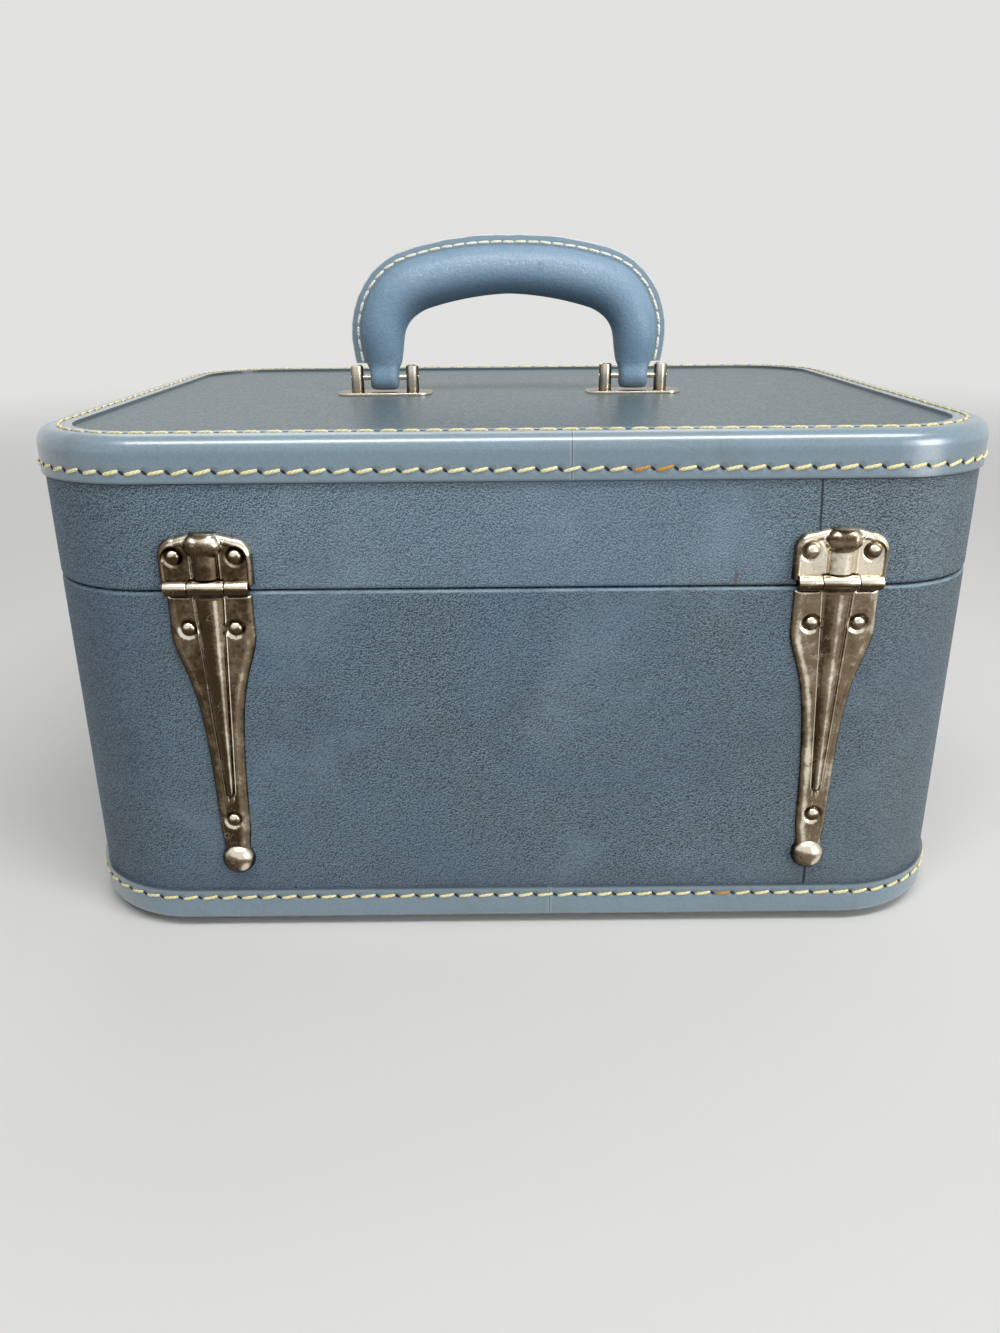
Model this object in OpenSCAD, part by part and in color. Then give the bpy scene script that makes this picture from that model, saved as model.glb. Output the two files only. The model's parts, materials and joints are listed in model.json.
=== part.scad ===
// Cosmetic train case: a bent-board box and lid covered in leatherette, bound at top and bottom,
// on two long pressed hinges, with a carrying handle on the lid and two latches at the front.
// The hinges are at the back (+Y), the latches at the front (-Y) and the feet stand on z = 0.

/* [Case] */
// Width over the edge bindings
case_w = 330; // [300:1:380]
// Depth over the edge bindings
case_d = 258; // [225:1:300]
// Height of the closed case without its feet
case_h = 180.5; // [165:0.5:230]
// Radius of the upright corners, at the bindings
corner_r = 42.5; // [32:0.5:55]
// Height of the parting line above the underside
seam_h = 129.5; // [115:0.5:140]
// Gap between body and lid at the parting line
seam_gap = 0.4; // [0.3:0.1:0.8]

/* [Walls] */
// Thickness of the bent board walls
board_t = 4; // [3:0.5:6]
// Thickness of the leatherette cover
cover_t = 0.8; // [0.5:0.1:1.2]
// Radius of the covered rim at the parting line
rim_r = 1.4; // [1:0.1:2]
// Thickness of the lining card
lining_t = 1.4; // [1:0.1:2]
// Height of the lining that stands above the rim and locates the lid
lip_h = 6; // [4:0.5:9]
// Gap between the locating lip and the lid
lip_gap = 0.5; // [0.3:0.1:0.6]
// Thickness of the padded lining on the floor and under the lid
pad_t = 2.5; // [1.5:0.5:4]
// Gap round the pads, for the turned edges of their cloth
pad_gap = 0.3; // [0.2:0.1:0.6]

/* [Edge bindings] */
// Thickness of the binding leather
binding_t = 1.2; // [0.8:0.1:1.6]
// Radius of the rolled top and bottom edges
edge_r = 5; // [4:0.5:7]
// How far the lid's binding comes down the sides
lid_binding_drop = 15; // [10:0.5:18]
// How far the body's binding comes up the sides
body_binding_rise = 14; // [10:0.5:16]
// How far both bindings reach in over the top and under the bottom
binding_reach = 12; // [10:0.5:16]

/* [Feet] */
// Height of the domed feet
foot_h = 2.5; // [2:0.5:5]
// Diameter of a foot
foot_d = 13; // [10:0.5:18]
// Diameter of the flat that a foot stands on
foot_flat_d = 7; // [5:0.5:9]
// Distance of a foot's centre from the sides of the case
foot_inset = 30; // [26:1:45]

/* [Hinges] */
// Distance of each hinge's middle from the side of the case
hinge_in = 60.6; // [58:0.1:85]
// How far the pair of hinges sits to the right of the middle
hinge_shift = -2.8; // [-6:0.1:6]
// Diameter of the hinge barrel
barrel_d = 5.2; // [4.6:0.1:6]
// Length of the hinge barrel
barrel_len = 28; // [26:0.5:32]
// Length of the middle knuckle
knuckle_len = 12; // [10:0.5:14]
// Gap at each end of the middle knuckle
knuckle_gap = 0.2; // [0.1:0.05:0.4]
// Diameter of the hinge pin
hinge_pin_d = 2.2; // [1.8:0.1:2.6]
// Height of the barrel's centre above the parting line
barrel_up = 1.8; // [1.4:0.1:2.6]
// Width of the long leaf at its shoulder
leaf_w = 28.4; // [26:0.2:32]
// Width of the long leaf at its neck
neck_w = 9.6; // [8:0.2:12]
// Length from the leaf's top edge to the centre of its ball end
leaf_len = 98.5; // [85:0.5:104]
// Length of the straight shoulder
shoulder_len = 13; // [8:0.5:20]
// How quickly the leaf narrows below the shoulder
leaf_fall = 18; // [14:0.5:24]
// Distance of the leaf's top edge below the barrel's centre
leaf_drop = 4.1; // [3.8:0.1:6]
// Height of the pressed leaf above the cover
leaf_h = 2; // [1.6:0.1:2.6]
// Width of the rolled edge along the leaf
leaf_roll = 2.2; // [1.5:0.1:3]
// Width of the raised rib at its top end
rib_w = 8.8; // [7:0.2:10]
// Width of the raised rib at its rounded tip
rib_tip_w = 3; // [2:0.2:4]
// Length of the raised rib
rib_len = 72; // [60:1:78]
// Height of the rib above the leaf
rib_h = 1.3; // [0.8:0.1:2]
// Diameter of the ball end
ball_d = 11.2; // [9:0.2:13]
// Height of the ball end above the cover
ball_h = 4.6; // [3.5:0.1:5.2]
// Width of the short leaf on the lid
cap_w = 31; // [29:0.5:34]
// Height of the short leaf's top above the barrel's centre
cap_top = 18.4; // [16:0.2:20]
// Radius of the short leaf's upper corners
cap_r = 6; // [4:0.5:8]
// How far the short leaf's top edge bows up
cap_bow = 1.6; // [0:0.1:3]
// Height of the short leaf above the cover
cap_h = 2.7; // [2.2:0.1:3]
// Width of the bulb at the top of the short leaf
bulb_w = 13; // [10:0.5:15]
// Diameter of the bulb across its short way
bulb_d = 7.6; // [6:0.2:9]
// Distance of the lid rivets from the hinge's middle
cap_rivet_x = 10.1; // [9:0.1:11]
// Height of the lid rivets above the barrel's centre
cap_rivet_up = 10.4; // [9:0.1:12]
// Distance of the upper body rivets from the hinge's middle
leaf_rivet_x = 7.9; // [7.5:0.1:9]
// Distance of the upper body rivets below the leaf's top edge
leaf_rivet_down = 10.4; // [9:0.1:13]
// Distance of the lowest rivet above the ball's centre
tail_rivet_up = 16.5; // [14:0.5:18]
// Diameter of a rivet's head
rivet_d = 5; // [4.4:0.1:5.6]
// Diameter of a rivet's shank
rivet_shank_d = 2.4; // [2:0.1:3]

/* [Handle] */
// Distance of each handle leg from the middle of the lid
leg_x = 53.2; // [45:0.1:62]
// Height of the handle pins above the lid's panel
handle_pin_up = 7; // [6.8:0.1:9]
// Height of the grip's centre line above the lid's panel, in the middle
crown_up = 49.8; // [44:0.1:58]
// Radius of the grip's centre line over the crown
crown_r = 131; // [110:1:180]
// Radius of the grip's centre line at its shoulders
bend_r = 22; // [19:0.5:26]
// Thickness of the grip, seen from the front
grip_t = 19; // [16:0.1:20]
// Thickness of the grip from front to back
grip_depth = 16.8; // [13:0.1:17.5]
// How much fuller the grip is at its shoulders, on each side
shoulder_full = 1.1; // [0:0.1:1.5]
// Height of the grip's lower ends above the lid's panel
leg_end_up = 13; // [12.8:0.1:15]
// Thickness of the grip's leather
leather_t = 1.5; // [1:0.1:2]
// How far the stitched flange stands out from the grip
flange_reach = 4; // [3:0.1:5]
// Thickness of the stitched flange
flange_t = 2.4; // [1.8:0.1:3]
// Width of the loops that turn on the handle pins
loop_w = 12.4; // [10:0.2:14]
// Outer diameter of a loop
loop_d = 10.4; // [9:0.1:11]
// Diameter of the handle pins
handle_pin_d = 2.2; // [1.8:0.1:2.6]
// Length of a handle plate
plate_w = 40; // [36:0.5:46]
// Depth of a handle plate
plate_d = 17; // [14:0.5:20]
// Thickness of a handle plate
plate_t = 1.2; // [0.8:0.1:1.2]
// Distance of a post from the middle of its plate
post_x = 11.8; // [11.6:0.1:13]
// Diameter of a post
post_d = 5.4; // [4.6:0.1:5.6]
// Height of a post above the lid's panel
post_h = 12.3; // [10.5:0.1:12.4]

/* [Latches] */
// Distance of each latch's middle from the side of the case
latch_in = 81; // [70:1:95]
// Width of the latch plate on the body
latch_w = 48; // [46:0.5:54]
// Height of the latch plate on the body
latch_tall = 26; // [25:0.5:30]
// Distance of the latch plate's top below the parting line
latch_drop = 2; // [1:0.5:5]
// Thickness of the latch's sheet metal
sheet_t = 1; // [0.8:0.1:1.2]
// Width of the raised latch housing
housing_w = 33; // [31:0.5:36]
// Height of the raised housing above the latch plate
housing_h = 3; // [2.8:0.1:3.4]
// Width of the hasp
hasp_w = 20; // [17:0.5:22]
// Length of the hasp below its pin
hasp_len = 24.5; // [23.5:0.5:26]
// Height of the hasp's pin above the parting line
hasp_up = 8; // [7:0.5:10]
// Diameter of the hasp's knuckle
hasp_knuckle_d = 4.4; // [4.2:0.1:4.6]
// Length of the hasp's middle knuckle
hasp_knuckle_len = 13; // [11:0.5:14]
// Diameter of the hasp's pin
hasp_pin_d = 1.8; // [1.6:0.1:2]
// Height of the hasp plate on the lid above the pin
hasp_plate_up = 17; // [14:0.5:19]
// Width of the hasp plate on the lid
hasp_plate_w = 30; // [28:0.5:34]
// Travel of the thumb slide
slide_travel = 5; // [4:0.5:6]
// Width of the thumb button
button_w = 9; // [8:0.5:10]

/* [Inside] */
// Height of the lift-out tray
tray_h = 32; // [26:1:40]
// Thickness of the tray's walls and floor
tray_t = 2.2; // [1.6:0.1:3]
// Gap between the tray and the lining
tray_gap = 3; // [2.5:0.5:5]
// How much rounder the tray's corners are than the lining's
tray_round = 5; // [0:1:8]
// Distance of the tray's rim below the parting line
tray_down = 2; // [1:0.5:6]
// Width of the ledges that carry the tray
ledge_w = 9; // [6:0.5:12]
// Height of the ledges that carry the tray
ledge_h = 8; // [5:0.5:12]
// Distance of the tray's divider from the middle
divider_x = 52; // [20:1:90]
// Width of the mirror's glass
mirror_w = 214; // [150:1:220]
// Height of the mirror's glass
mirror_d = 136; // [90:1:150]
// Thickness of the mirror's glass
mirror_t = 3; // [2:0.5:4]
// Width of the mirror's frame
mirror_frame_w = 9; // [6:0.5:14]
// How far the mirror's frame laps over the glass
mirror_lap = 2; // [1:0.5:4]

/* [Clearances] */
// Radial clearance of a part that turns on a pin
run_gap = 0.08; // [0.05:0.01:0.1]
// Room between the handle's padded core and its leather
core_gap = 0.1; // [0.1:0.05:0.3]
// Radial clearance of a rivet or post in its hole
fit_gap = 0.03; // [0.02:0.01:0.05]
// Gap between faces that pass each other
pass_gap = 0.3; // [0.25:0.05:0.4]
// Gap under a piece that is lifted off its seat
seat_gap = 0.2; // [0.1:0.05:0.3]

/* [Hidden] */
// Depths below the outside of the bindings
cover_in = binding_t;
frame_in = cover_in + cover_t;
wall_in = frame_in + board_t;
lining_in = wall_in + lining_t;
// Heights above the floor
base_z = foot_h;
seam_z = base_z + seam_h;
top_z = base_z + case_h;
panel_z = top_z - binding_t;
floor_z = base_z + wall_in;
ceiling_z = top_z - wall_in;
body_rim_z = seam_z - seam_gap / 2;
lid_rim_z = seam_z + seam_gap / 2;
lip_z = seam_z + lip_h;
pad_in = lining_in + pad_gap;
// How far pieces of one node run into each other
bite = 0.5;
// Hinges
hinge_x = case_w / 2 - hinge_in;
back_y = case_d / 2 - cover_in;
barrel_r = barrel_d / 2;
barrel_y = back_y + pass_gap + barrel_r;
barrel_z = seam_z + barrel_up;
shank_len = cover_t + board_t;
// How far the barrels, the hasps and the thumb buttons all stand out from the cover
hardware_out = pass_gap + barrel_d;
// Handle
handle_pin_z = panel_z + handle_pin_up;
leg_end_z = panel_z + leg_end_up;
crown_z = panel_z + crown_up;
bend_rise = sqrt(pow(crown_r - bend_r, 2) - pow(leg_x - bend_r, 2));
bend_z = crown_z - crown_r + bend_rise;
bend_end = atan2(bend_rise, bend_r - leg_x);
tab_w = loop_w * 0.75;
tab_t = 4;
tab_len = 11;
swell_over = 6;
post_chamfer = 0.6;
// Latches
latch_x = case_w / 2 - latch_in;
latch_corner_r = 5;
housing_corner_r = 4;
housing_margin = 1.5;
hasp_corner_r = 4;
hasp_plate_low = 1;
keyhole_r = 1.3;
keyhole_len = 4;
bolt_gap = 0.25;
button_rib_r = 0.35;
tongue_out = 1.6;
rivet_inset = 5;
front_y = -back_y;
hasp_pin_out = hasp_knuckle_d / 2 + pass_gap + bite;
hasp_in = housing_h + sheet_t + pass_gap;
housing_t = 0.8;
bolt_t = 0.9;
bolt_arm_w = 3;
tongue_w = 5;
tongue_t = 3;
tongue_down = hasp_up + 10;
button_tall = 5;
button_down = hasp_len - hasp_up + button_tall / 2 + 1;
stem_t = 3;
stem_in = 3;
// Tray
divider_down = 4;
tray_in = lining_in + tray_gap;
tray_z = seam_z - tray_down - tray_h;
steel = [0.66, 0.62, 0.56];
nickel = [0.78, 0.78, 0.76];
leatherette = [0.27, 0.37, 0.47];
binding_blue = [0.33, 0.45, 0.56];
lining_blue = [0.66, 0.76, 0.83];
board = [0.72, 0.6, 0.43];
$fn = 64;

// Corner waste of a square corner at the origin that is rounded with radius r
module corner_waste(r) {
    difference() {
        square([r, r]);
        circle(r);
    }
}

// Rounded rectangle centred on the origin
module rounded_rect(w, d, r) {
    difference() {
        square([w, d], center = true);
        for (k = [0:3])
            rotate(90 * k)
                translate([(k % 2 == 0 ? w : d) / 2 - r, (k % 2 == 0 ? d : w) / 2 - r])
                    corner_waste(r);
    }
}

// Flat sheet that follows the case's plan, a depth in from the outside of the bindings
module case_sheet(depth, t) {
    linear_extrude(t) rounded_rect(case_w - 2 * depth, case_d - 2 * depth, corner_r - depth);
}

// Runs the child outline round the case's plan; x = 0 is the outside of the bindings, y is height
module round_case() {
    for (k = [0:3]) {
        span = (k % 2 == 0 ? case_d : case_w) - 2 * corner_r;
        out = (k % 2 == 0 ? case_w : case_d) / 2;
        side = (k % 2 == 0 ? case_d : case_w) / 2;
        rotate([0, 0, 90 * k]) {
            translate([out, span / 2, 0]) rotate([90, 0, 0]) linear_extrude(span) children();
            translate([out - corner_r, side - corner_r, 0])
                rotate_extrude(angle = 90) translate([corner_r, 0]) children();
        }
    }
}

// Section of a wall: from depth in to depth in + t, with its two outer corners rounded
module wall_section(depth, t, low, high, low_r = 0, high_r = 0) {
    difference() {
        translate([-depth - t, low]) square([t, high - low]);
        if (low_r > 0)
            translate([-depth - low_r, low + low_r]) mirror([0, 1]) corner_waste(low_r);
        if (high_r > 0)
            translate([-depth - high_r, high - high_r]) corner_waste(high_r);
    }
}

// Section of a sheet that turns over the outer edge of a wall at both ends
module skin_section(depth, t, low, high, low_r, high_r, low_reach, high_reach) {
    difference() {
        union() {
            wall_section(depth, low_reach, low, (low + high) / 2, low_r, 0);
            wall_section(depth, high_reach, (low + high) / 2, high, 0, high_r);
        }
        wall_section(depth + t, low_reach + high_reach, low + t, high - t, low_r - t, high_r - t);
    }
}

// Puts the children at the left and the right hinge
module at_hinges() {
    for (side = [-1, 1]) at_hinge(side) children();
}

// Local frame of a hinge: y is out from the cover, z is up from the barrel's centre
module at_hinge(side) {
    translate([hinge_shift + side * hinge_x, back_y, barrel_z]) children();
}

// Local frame of a latch: y is out from the front's cover, z is up from the parting line
module at_latch(side) {
    translate([side * latch_x, front_y, seam_z]) rotate([0, 0, 180]) children();
}

// Cylinder along the outward y axis, from y = 0 inwards for positive length
module peg(r, len, out = 0) {
    translate([0, out, 0]) rotate([90, 0, 0]) cylinder(r = r, h = len + out);
}

// Cylinder along x, centred on the origin
module rod(r, len) {
    rotate([0, 90, 0]) cylinder(r = r, h = len, center = true);
}

// Domed cap of a base diameter and height, standing on y = 0
module dome(d, h) {
    ball_r = (pow(d / 2, 2) + h * h) / (2 * h);
    rotate([-90, 0, 0])
        intersection() {
            translate([0, 0, h - ball_r]) sphere(ball_r);
            cylinder(r = d / 2 + 1, h = h + 1);
        }
}

// Rivet with its head on a sheet that stands out from the cover
module rivet(out) {
    translate([0, out, 0]) dome(rivet_d, rivet_d * 0.28);
    peg(rivet_shank_d / 2, shank_len, out);
}

// Hole for a rivet, through everything from the leaf to the inside of the board
module rivet_hole() {
    peg(rivet_shank_d / 2 + fit_gap, shank_len + 1, leaf_h + 2);
}

// Places of the rivets, in the frames of a hinge and of a latch
leaf_rivets = [[-leaf_rivet_x, -leaf_drop - leaf_rivet_down], [leaf_rivet_x, -leaf_drop - leaf_rivet_down],
    [0, -leaf_drop - leaf_len + tail_rivet_up]];
cap_rivets = [[-cap_rivet_x, cap_rivet_up], [cap_rivet_x, cap_rivet_up]];
latch_rivet_x = (latch_w + housing_w) / 4;
latch_rivet_z = latch_tall / 2 - rivet_inset;
latch_rivets = [for (x = [-1, 1], z = [-1, 1])
    [x * latch_rivet_x, z * latch_rivet_z - latch_drop - latch_tall / 2]];
hasp_rivets = [for (x = [-1, 1])
    [x * (hasp_plate_w / 2 - rivet_inset), hasp_up + hasp_plate_up - rivet_inset]];

module at_points(points) {
    for (p = points) translate([p[0], 0, p[1]]) children();
}

// Body

module body_wall_holes() {
    at_hinges() at_points(leaf_rivets) rivet_hole();
    for (side = [-1, 1]) at_latch(side) at_points(latch_rivets) rivet_hole();
}

module body_frame() {
    color(board) difference() {
        round_case() wall_section(frame_in, board_t, base_z + frame_in, body_rim_z - cover_t,
            edge_r - frame_in, rim_r - cover_t);
        body_wall_holes();
    }
}

module bottom_board() {
    color(board) difference() {
        translate([0, 0, base_z + frame_in]) case_sheet(wall_in, board_t);
        at_feet() cylinder(r = rivet_shank_d / 2 + fit_gap, h = floor_z);
    }
}

module body_cover() {
    color(leatherette) difference() {
        round_case() skin_section(cover_in, cover_t, base_z + cover_in, body_rim_z,
            edge_r - cover_in, rim_r, edge_r - cover_in, wall_in - cover_in);
        body_wall_holes();
    }
}

module bottom_cover() {
    color(leatherette) difference() {
        translate([0, 0, base_z + cover_in]) case_sheet(edge_r, cover_t);
        at_feet() cylinder(r = rivet_shank_d / 2 + fit_gap, h = floor_z);
    }
}

module bottom_binding() {
    color(binding_blue) round_case() difference() {
        wall_section(0, binding_reach, base_z, base_z + body_binding_rise, edge_r, 0);
        wall_section(binding_t, binding_reach, base_z + binding_t, top_z, edge_r - binding_t, 0);
    }
}

module at_feet() {
    for (x = [-1, 1], y = [-1, 1])
        translate([x * (case_w / 2 - foot_inset), y * (case_d / 2 - foot_inset), 0]) children();
}

// A foot is a domed stud with a flat to stand on and a shank that is driven into the board
module feet() {
    foot_top = base_z + cover_in;
    color(nickel) at_feet() {
        rotate_extrude()
            translate([0, foot_top]) mirror([0, 1]) dome_section(foot_d, foot_top, foot_flat_d);
        cylinder(r = rivet_shank_d / 2, h = floor_z);
    }
}

// Half of a domed outline that is cut off flat at its top
module dome_section(d, h, flat_d) {
    mid = (pow(flat_d / 2, 2) - pow(d / 2, 2) + h * h) / (2 * h);
    intersection() {
        translate([0, mid]) circle(norm([d / 2, mid]));
        square([d, h]);
    }
}

// The lining is thinned above the rim, where it stands inside the lid
module body_lining() {
    color(lining_blue) round_case() union() {
        wall_section(wall_in, lining_t, floor_z, body_rim_z);
        wall_section(wall_in + lip_gap, lining_t - lip_gap, body_rim_z, lip_z);
    }
}

module floor_pad() {
    color(lining_blue) translate([0, 0, floor_z]) case_sheet(pad_in, pad_t);
}

// Ledges on the two short sides, under the ends of the tray
module tray_ledges() {
    ledge_len = case_d - 2 * corner_r;
    color(lining_blue) for (side = [-1, 1])
        translate([side * (case_w / 2 - lining_in - ledge_w / 2), 0, tray_z - seat_gap - ledge_h / 2])
            cube([ledge_w, ledge_len, ledge_h], center = true);
}

// Hinges

// Half the leaf's width at a distance below its top edge
function leaf_half(d) = neck_w / 2
    + (leaf_w - neck_w) / 2 / (1 + pow(max(d - shoulder_len, 0) / leaf_fall, 1.8));

// How much of the rib is left at a distance below the leaf's top edge
function rib_left(d) = d >= rib_len ? 0 : sqrt(1 - pow(max(d - rib_len + rib_tip_w, 0) / rib_tip_w, 2));

function rib_half(d) = rib_w / 2 + (rib_tip_w - rib_w) / 2 * min(d / rib_len, 1);

groove_w = 0.8;
groove_deep = 0.35;
leaf_edge_h = 0.7;
dish_w = 0.9;
collar_w = 0.4;

// One half of the leaf's section, from the middle of the rib to the edge
function leaf_section(d) =
    let (w = leaf_half(d), k = rib_left(d), r = rib_half(d), roll = min(leaf_roll, w * 0.4))
    [[0, leaf_h + k * rib_h],
     [r * 0.5, leaf_h + k * rib_h * 0.86],
     [r * 0.87, leaf_h + k * (rib_h * 0.4)],
     [r, leaf_h - k * groove_deep],
     [r + groove_w * 0.5, leaf_h - k * groove_deep],
     [r + groove_w, leaf_h],
     [max(w - roll, r + groove_w + 0.05), leaf_h],
     [max(w - roll * 0.45, r + groove_w + 0.1), leaf_h - (leaf_h - leaf_edge_h) * 0.25],
     [max(w - roll * 0.12, r + groove_w + 0.15), leaf_h - (leaf_h - leaf_edge_h) * 0.6],
     [w, leaf_edge_h],
     [w, 0]];

// Closed solid through a list of rings that all have as many points
module loft(rings) {
    n = len(rings[0]);
    last = len(rings) - 1;
    faces = concat(
        [[for (i = [0:n - 1]) i]],
        [for (k = [0:last - 1], i = [0:n - 1])
            [k * n + i, (k + 1) * n + i, (k + 1) * n + (i + 1) % n, k * n + (i + 1) % n]],
        [[for (i = [n - 1:-1:0]) last * n + i]]);
    polyhedron([for (ring = rings) each ring], faces, convexity = 6);
}

// Long leaf on the body: a pressed plate that narrows to a ball end, with a tapering raised rib
module leaf_plate() {
    steps = 30;
    stations = [for (i = [0:steps]) leaf_len * i / steps];
    half = leaf_section(0);
    n = len(half);
    loft([for (d = stations)
        let (s = leaf_section(d))
        [each [for (i = [0:n - 1]) [s[i][0], s[i][1], -leaf_drop - d]],
         each [for (i = [n - 1:-1:1]) [-s[i][0], s[i][1], -leaf_drop - d]]]]);
}

module hinge_leaf() {
    knuckle_y = pass_gap + barrel_r;
    color(steel) difference() {
        union() {
            leaf_plate();
            // Ball end with its collar
            translate([0, 0, -leaf_drop - leaf_len]) {
                dome(ball_d, ball_h);
                rotate([-90, 0, 0]) cylinder(r = ball_d / 2 + collar_w, h = leaf_h * 0.6);
            }
            // Middle knuckle and the strip that carries it
            translate([0, knuckle_y, 0]) rod(barrel_r, knuckle_len);
            translate([-knuckle_len / 2, pass_gap, -leaf_drop - bite])
                cube([knuckle_len, barrel_r, leaf_drop + bite]);
        }
        translate([0, knuckle_y, 0]) rod(hinge_pin_d / 2 + run_gap, barrel_len);
        // Room for the outer knuckles as the lid turns
        for (side = [-1, 1])
            translate([side * (knuckle_len / 2 + barrel_len), knuckle_y, 0])
                rod(barrel_r + pass_gap, 2 * barrel_len);
        at_points(leaf_rivets) rivet_hole();
        at_points([leaf_rivets[2]]) rotate([-90, 0, 0]) translate([0, 0, leaf_h - groove_deep])
            cylinder(r = rivet_d / 2 + dish_w, h = leaf_h);
    }
}

module hinge_leaf_left() at_hinge(-1) hinge_leaf();

module hinge_leaf_right() at_hinge(1) hinge_leaf();

module hinge_leaf_rivets() {
    color(nickel) at_hinges() {
        at_points([leaf_rivets[0], leaf_rivets[1]]) rivet(leaf_h);
        at_points([leaf_rivets[2]]) rivet(leaf_h - groove_deep);
    }
}

// Outline of the short leaf: rounded upper corners under a bowed top edge
module cap_outline(shrink) {
    w = cap_w / 2 - shrink;
    top = cap_top - shrink;
    r = cap_r - shrink;
    hull() {
        translate([-w, barrel_r]) square([2 * w, 1]);
        for (side = [-1, 1])
            translate([side * (w - r), top - cap_bow - r]) circle(r);
        translate([0, top - r]) circle(r);
    }
}

// Outline of the band that stands up round the bulb and the neck
module vase_outline() {
    neck = rib_w / 2 + vase_w;
    bulb = bulb_w / 2 + vase_w;
    throat = cap_top - bulb_d - vase_taper;
    shoulder = cap_top - cap_rim_w;
    polygon([[-neck, 0], [-neck, throat], [-bulb, shoulder], [bulb, shoulder], [neck, throat], [neck, 0]]);
}

vase_w = 0.8;
vase_h = 0.35;
vase_taper = 2;
bulb_sink = 1;
cap_rim_w = 3;
// Rounding of the short leaf's rim: shares of the rim's width and of the leaf's height
cap_rim = [[0, 0.35], [0.2, 0.63], [0.5, 0.86], [1, 1]];

// Short leaf on the lid: a pillowed plate with a bulb and a neck that runs down to the barrel
module hinge_cap() {
    knuckle_y = pass_gap + barrel_r;
    neck_r = rib_w / 2;
    outer_len = (barrel_len - knuckle_len) / 2 - knuckle_gap;
    color(steel) difference() {
        union() {
            rotate([90, 0, 0]) mirror([0, 0, 1]) {
                hull() for (step = cap_rim)
                    linear_extrude(step[1] * cap_h) cap_outline(step[0] * cap_rim_w);
                linear_extrude(cap_h + vase_h) vase_outline();
            }
            // Neck and bulb
            intersection() {
                translate([0, cap_h - neck_r * 0.55, 0]) cylinder(r = neck_r, h = cap_top - bulb_d / 2);
                translate([-neck_r, 0, 0]) cube([2 * neck_r, barrel_d, cap_top]);
            }
            translate([0, cap_h - bulb_sink, cap_top - cap_bow / 2 - bulb_d / 2])
                hull() for (side = [-1, 1])
                    translate([side * (bulb_w - bulb_d) / 2, 0, 0]) sphere(bulb_d / 2, $fn = 28);
            // Outer knuckles and the strips that carry them
            for (side = [-1, 1])
                translate([side * (barrel_len - outer_len) / 2, 0, 0]) {
                    translate([0, knuckle_y, 0]) rod(barrel_r, outer_len);
                    translate([-outer_len / 2, pass_gap, 0]) cube([outer_len, barrel_r, barrel_r + 1]);
                }
        }
        translate([0, knuckle_y, 0]) {
            rod(hinge_pin_d / 2 + fit_gap, barrel_len + 1);
            rod(barrel_r + pass_gap, knuckle_len + 2 * knuckle_gap);
        }
        translate([-cap_w, -10, -cap_top]) cube([2 * cap_w, 10, 3 * cap_top]);
        at_points(cap_rivets) {
            rivet_hole();
            rotate([-90, 0, 0]) translate([0, 0, cap_h - groove_deep])
                cylinder(r = rivet_d / 2 + dish_w, h = cap_h);
        }
    }
}

module hinge_cap_left() at_hinge(-1) hinge_cap();

module hinge_cap_right() at_hinge(1) hinge_cap();

module hinge_cap_rivets() {
    color(nickel) at_hinges() at_points(cap_rivets) rivet(cap_h - groove_deep);
}

module hinge_pins() {
    color(nickel) at_hinges() translate([0, pass_gap + barrel_r, 0]) rod(hinge_pin_d / 2, barrel_len);
}

// Lid

module lid_wall_holes() {
    at_hinges() at_points(cap_rivets) rivet_hole();
    for (side = [-1, 1]) at_latch(side) at_points(hasp_rivets) rivet_hole();
}

module lid_frame() {
    color(board) difference() {
        round_case() wall_section(frame_in, board_t, lid_rim_z + cover_t, top_z - frame_in,
            rim_r - cover_t, edge_r - frame_in);
        lid_wall_holes();
    }
}

module at_posts() {
    for (side = [-1, 1], post = [-1, 1])
        translate([side * leg_x + post * post_x, 0, 0]) children();
}

module post_holes() {
    at_posts() cylinder(r = rivet_shank_d / 2 + fit_gap, h = top_z + plate_t);
}

module lid_board() {
    color(board) difference() {
        translate([0, 0, ceiling_z]) case_sheet(wall_in, board_t);
        post_holes();
    }
}

module lid_cover() {
    color(leatherette) difference() {
        round_case() skin_section(cover_in, cover_t, lid_rim_z, panel_z,
            rim_r, edge_r - cover_in, wall_in - cover_in, edge_r - cover_in);
        lid_wall_holes();
    }
}

module lid_panel() {
    color(leatherette) difference() {
        translate([0, 0, panel_z - cover_t]) case_sheet(edge_r, cover_t);
        post_holes();
    }
}

module lid_binding() {
    color(binding_blue) round_case() difference() {
        wall_section(0, binding_reach, top_z - lid_binding_drop, top_z, 0, edge_r);
        wall_section(binding_t, binding_reach, 0, top_z - binding_t, 0, edge_r - binding_t);
    }
}

module lid_lining() {
    color(lining_blue) round_case()
        wall_section(wall_in, lining_t - lip_gap, lip_z + pass_gap + bite, ceiling_z);
}

module lid_pad() {
    color(lining_blue) translate([0, 0, ceiling_z - pad_t]) case_sheet(pad_in, pad_t);
}

mirror_z = ceiling_z - pad_t - mirror_t;

module mirror_frame() {
    w = mirror_w + 2 * (mirror_frame_w - mirror_lap);
    d = mirror_d + 2 * (mirror_frame_w - mirror_lap);
    frame_t = mirror_t + cover_t;
    color(leatherette) translate([0, 0, mirror_z - cover_t]) difference() {
        linear_extrude(frame_t) rounded_rect(w, d, mirror_frame_w);
        translate([0, 0, cover_t]) linear_extrude(frame_t) square([mirror_w, mirror_d], center = true);
        translate([0, 0, -1]) linear_extrude(frame_t)
            rounded_rect(mirror_w - 2 * mirror_lap, mirror_d - 2 * mirror_lap, mirror_lap);
    }
}

module mirror_glass() {
    color("lightgray") translate([0, 0, mirror_z]) linear_extrude(mirror_t)
        square([mirror_w, mirror_d], center = true);
}

// Handle

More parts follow.
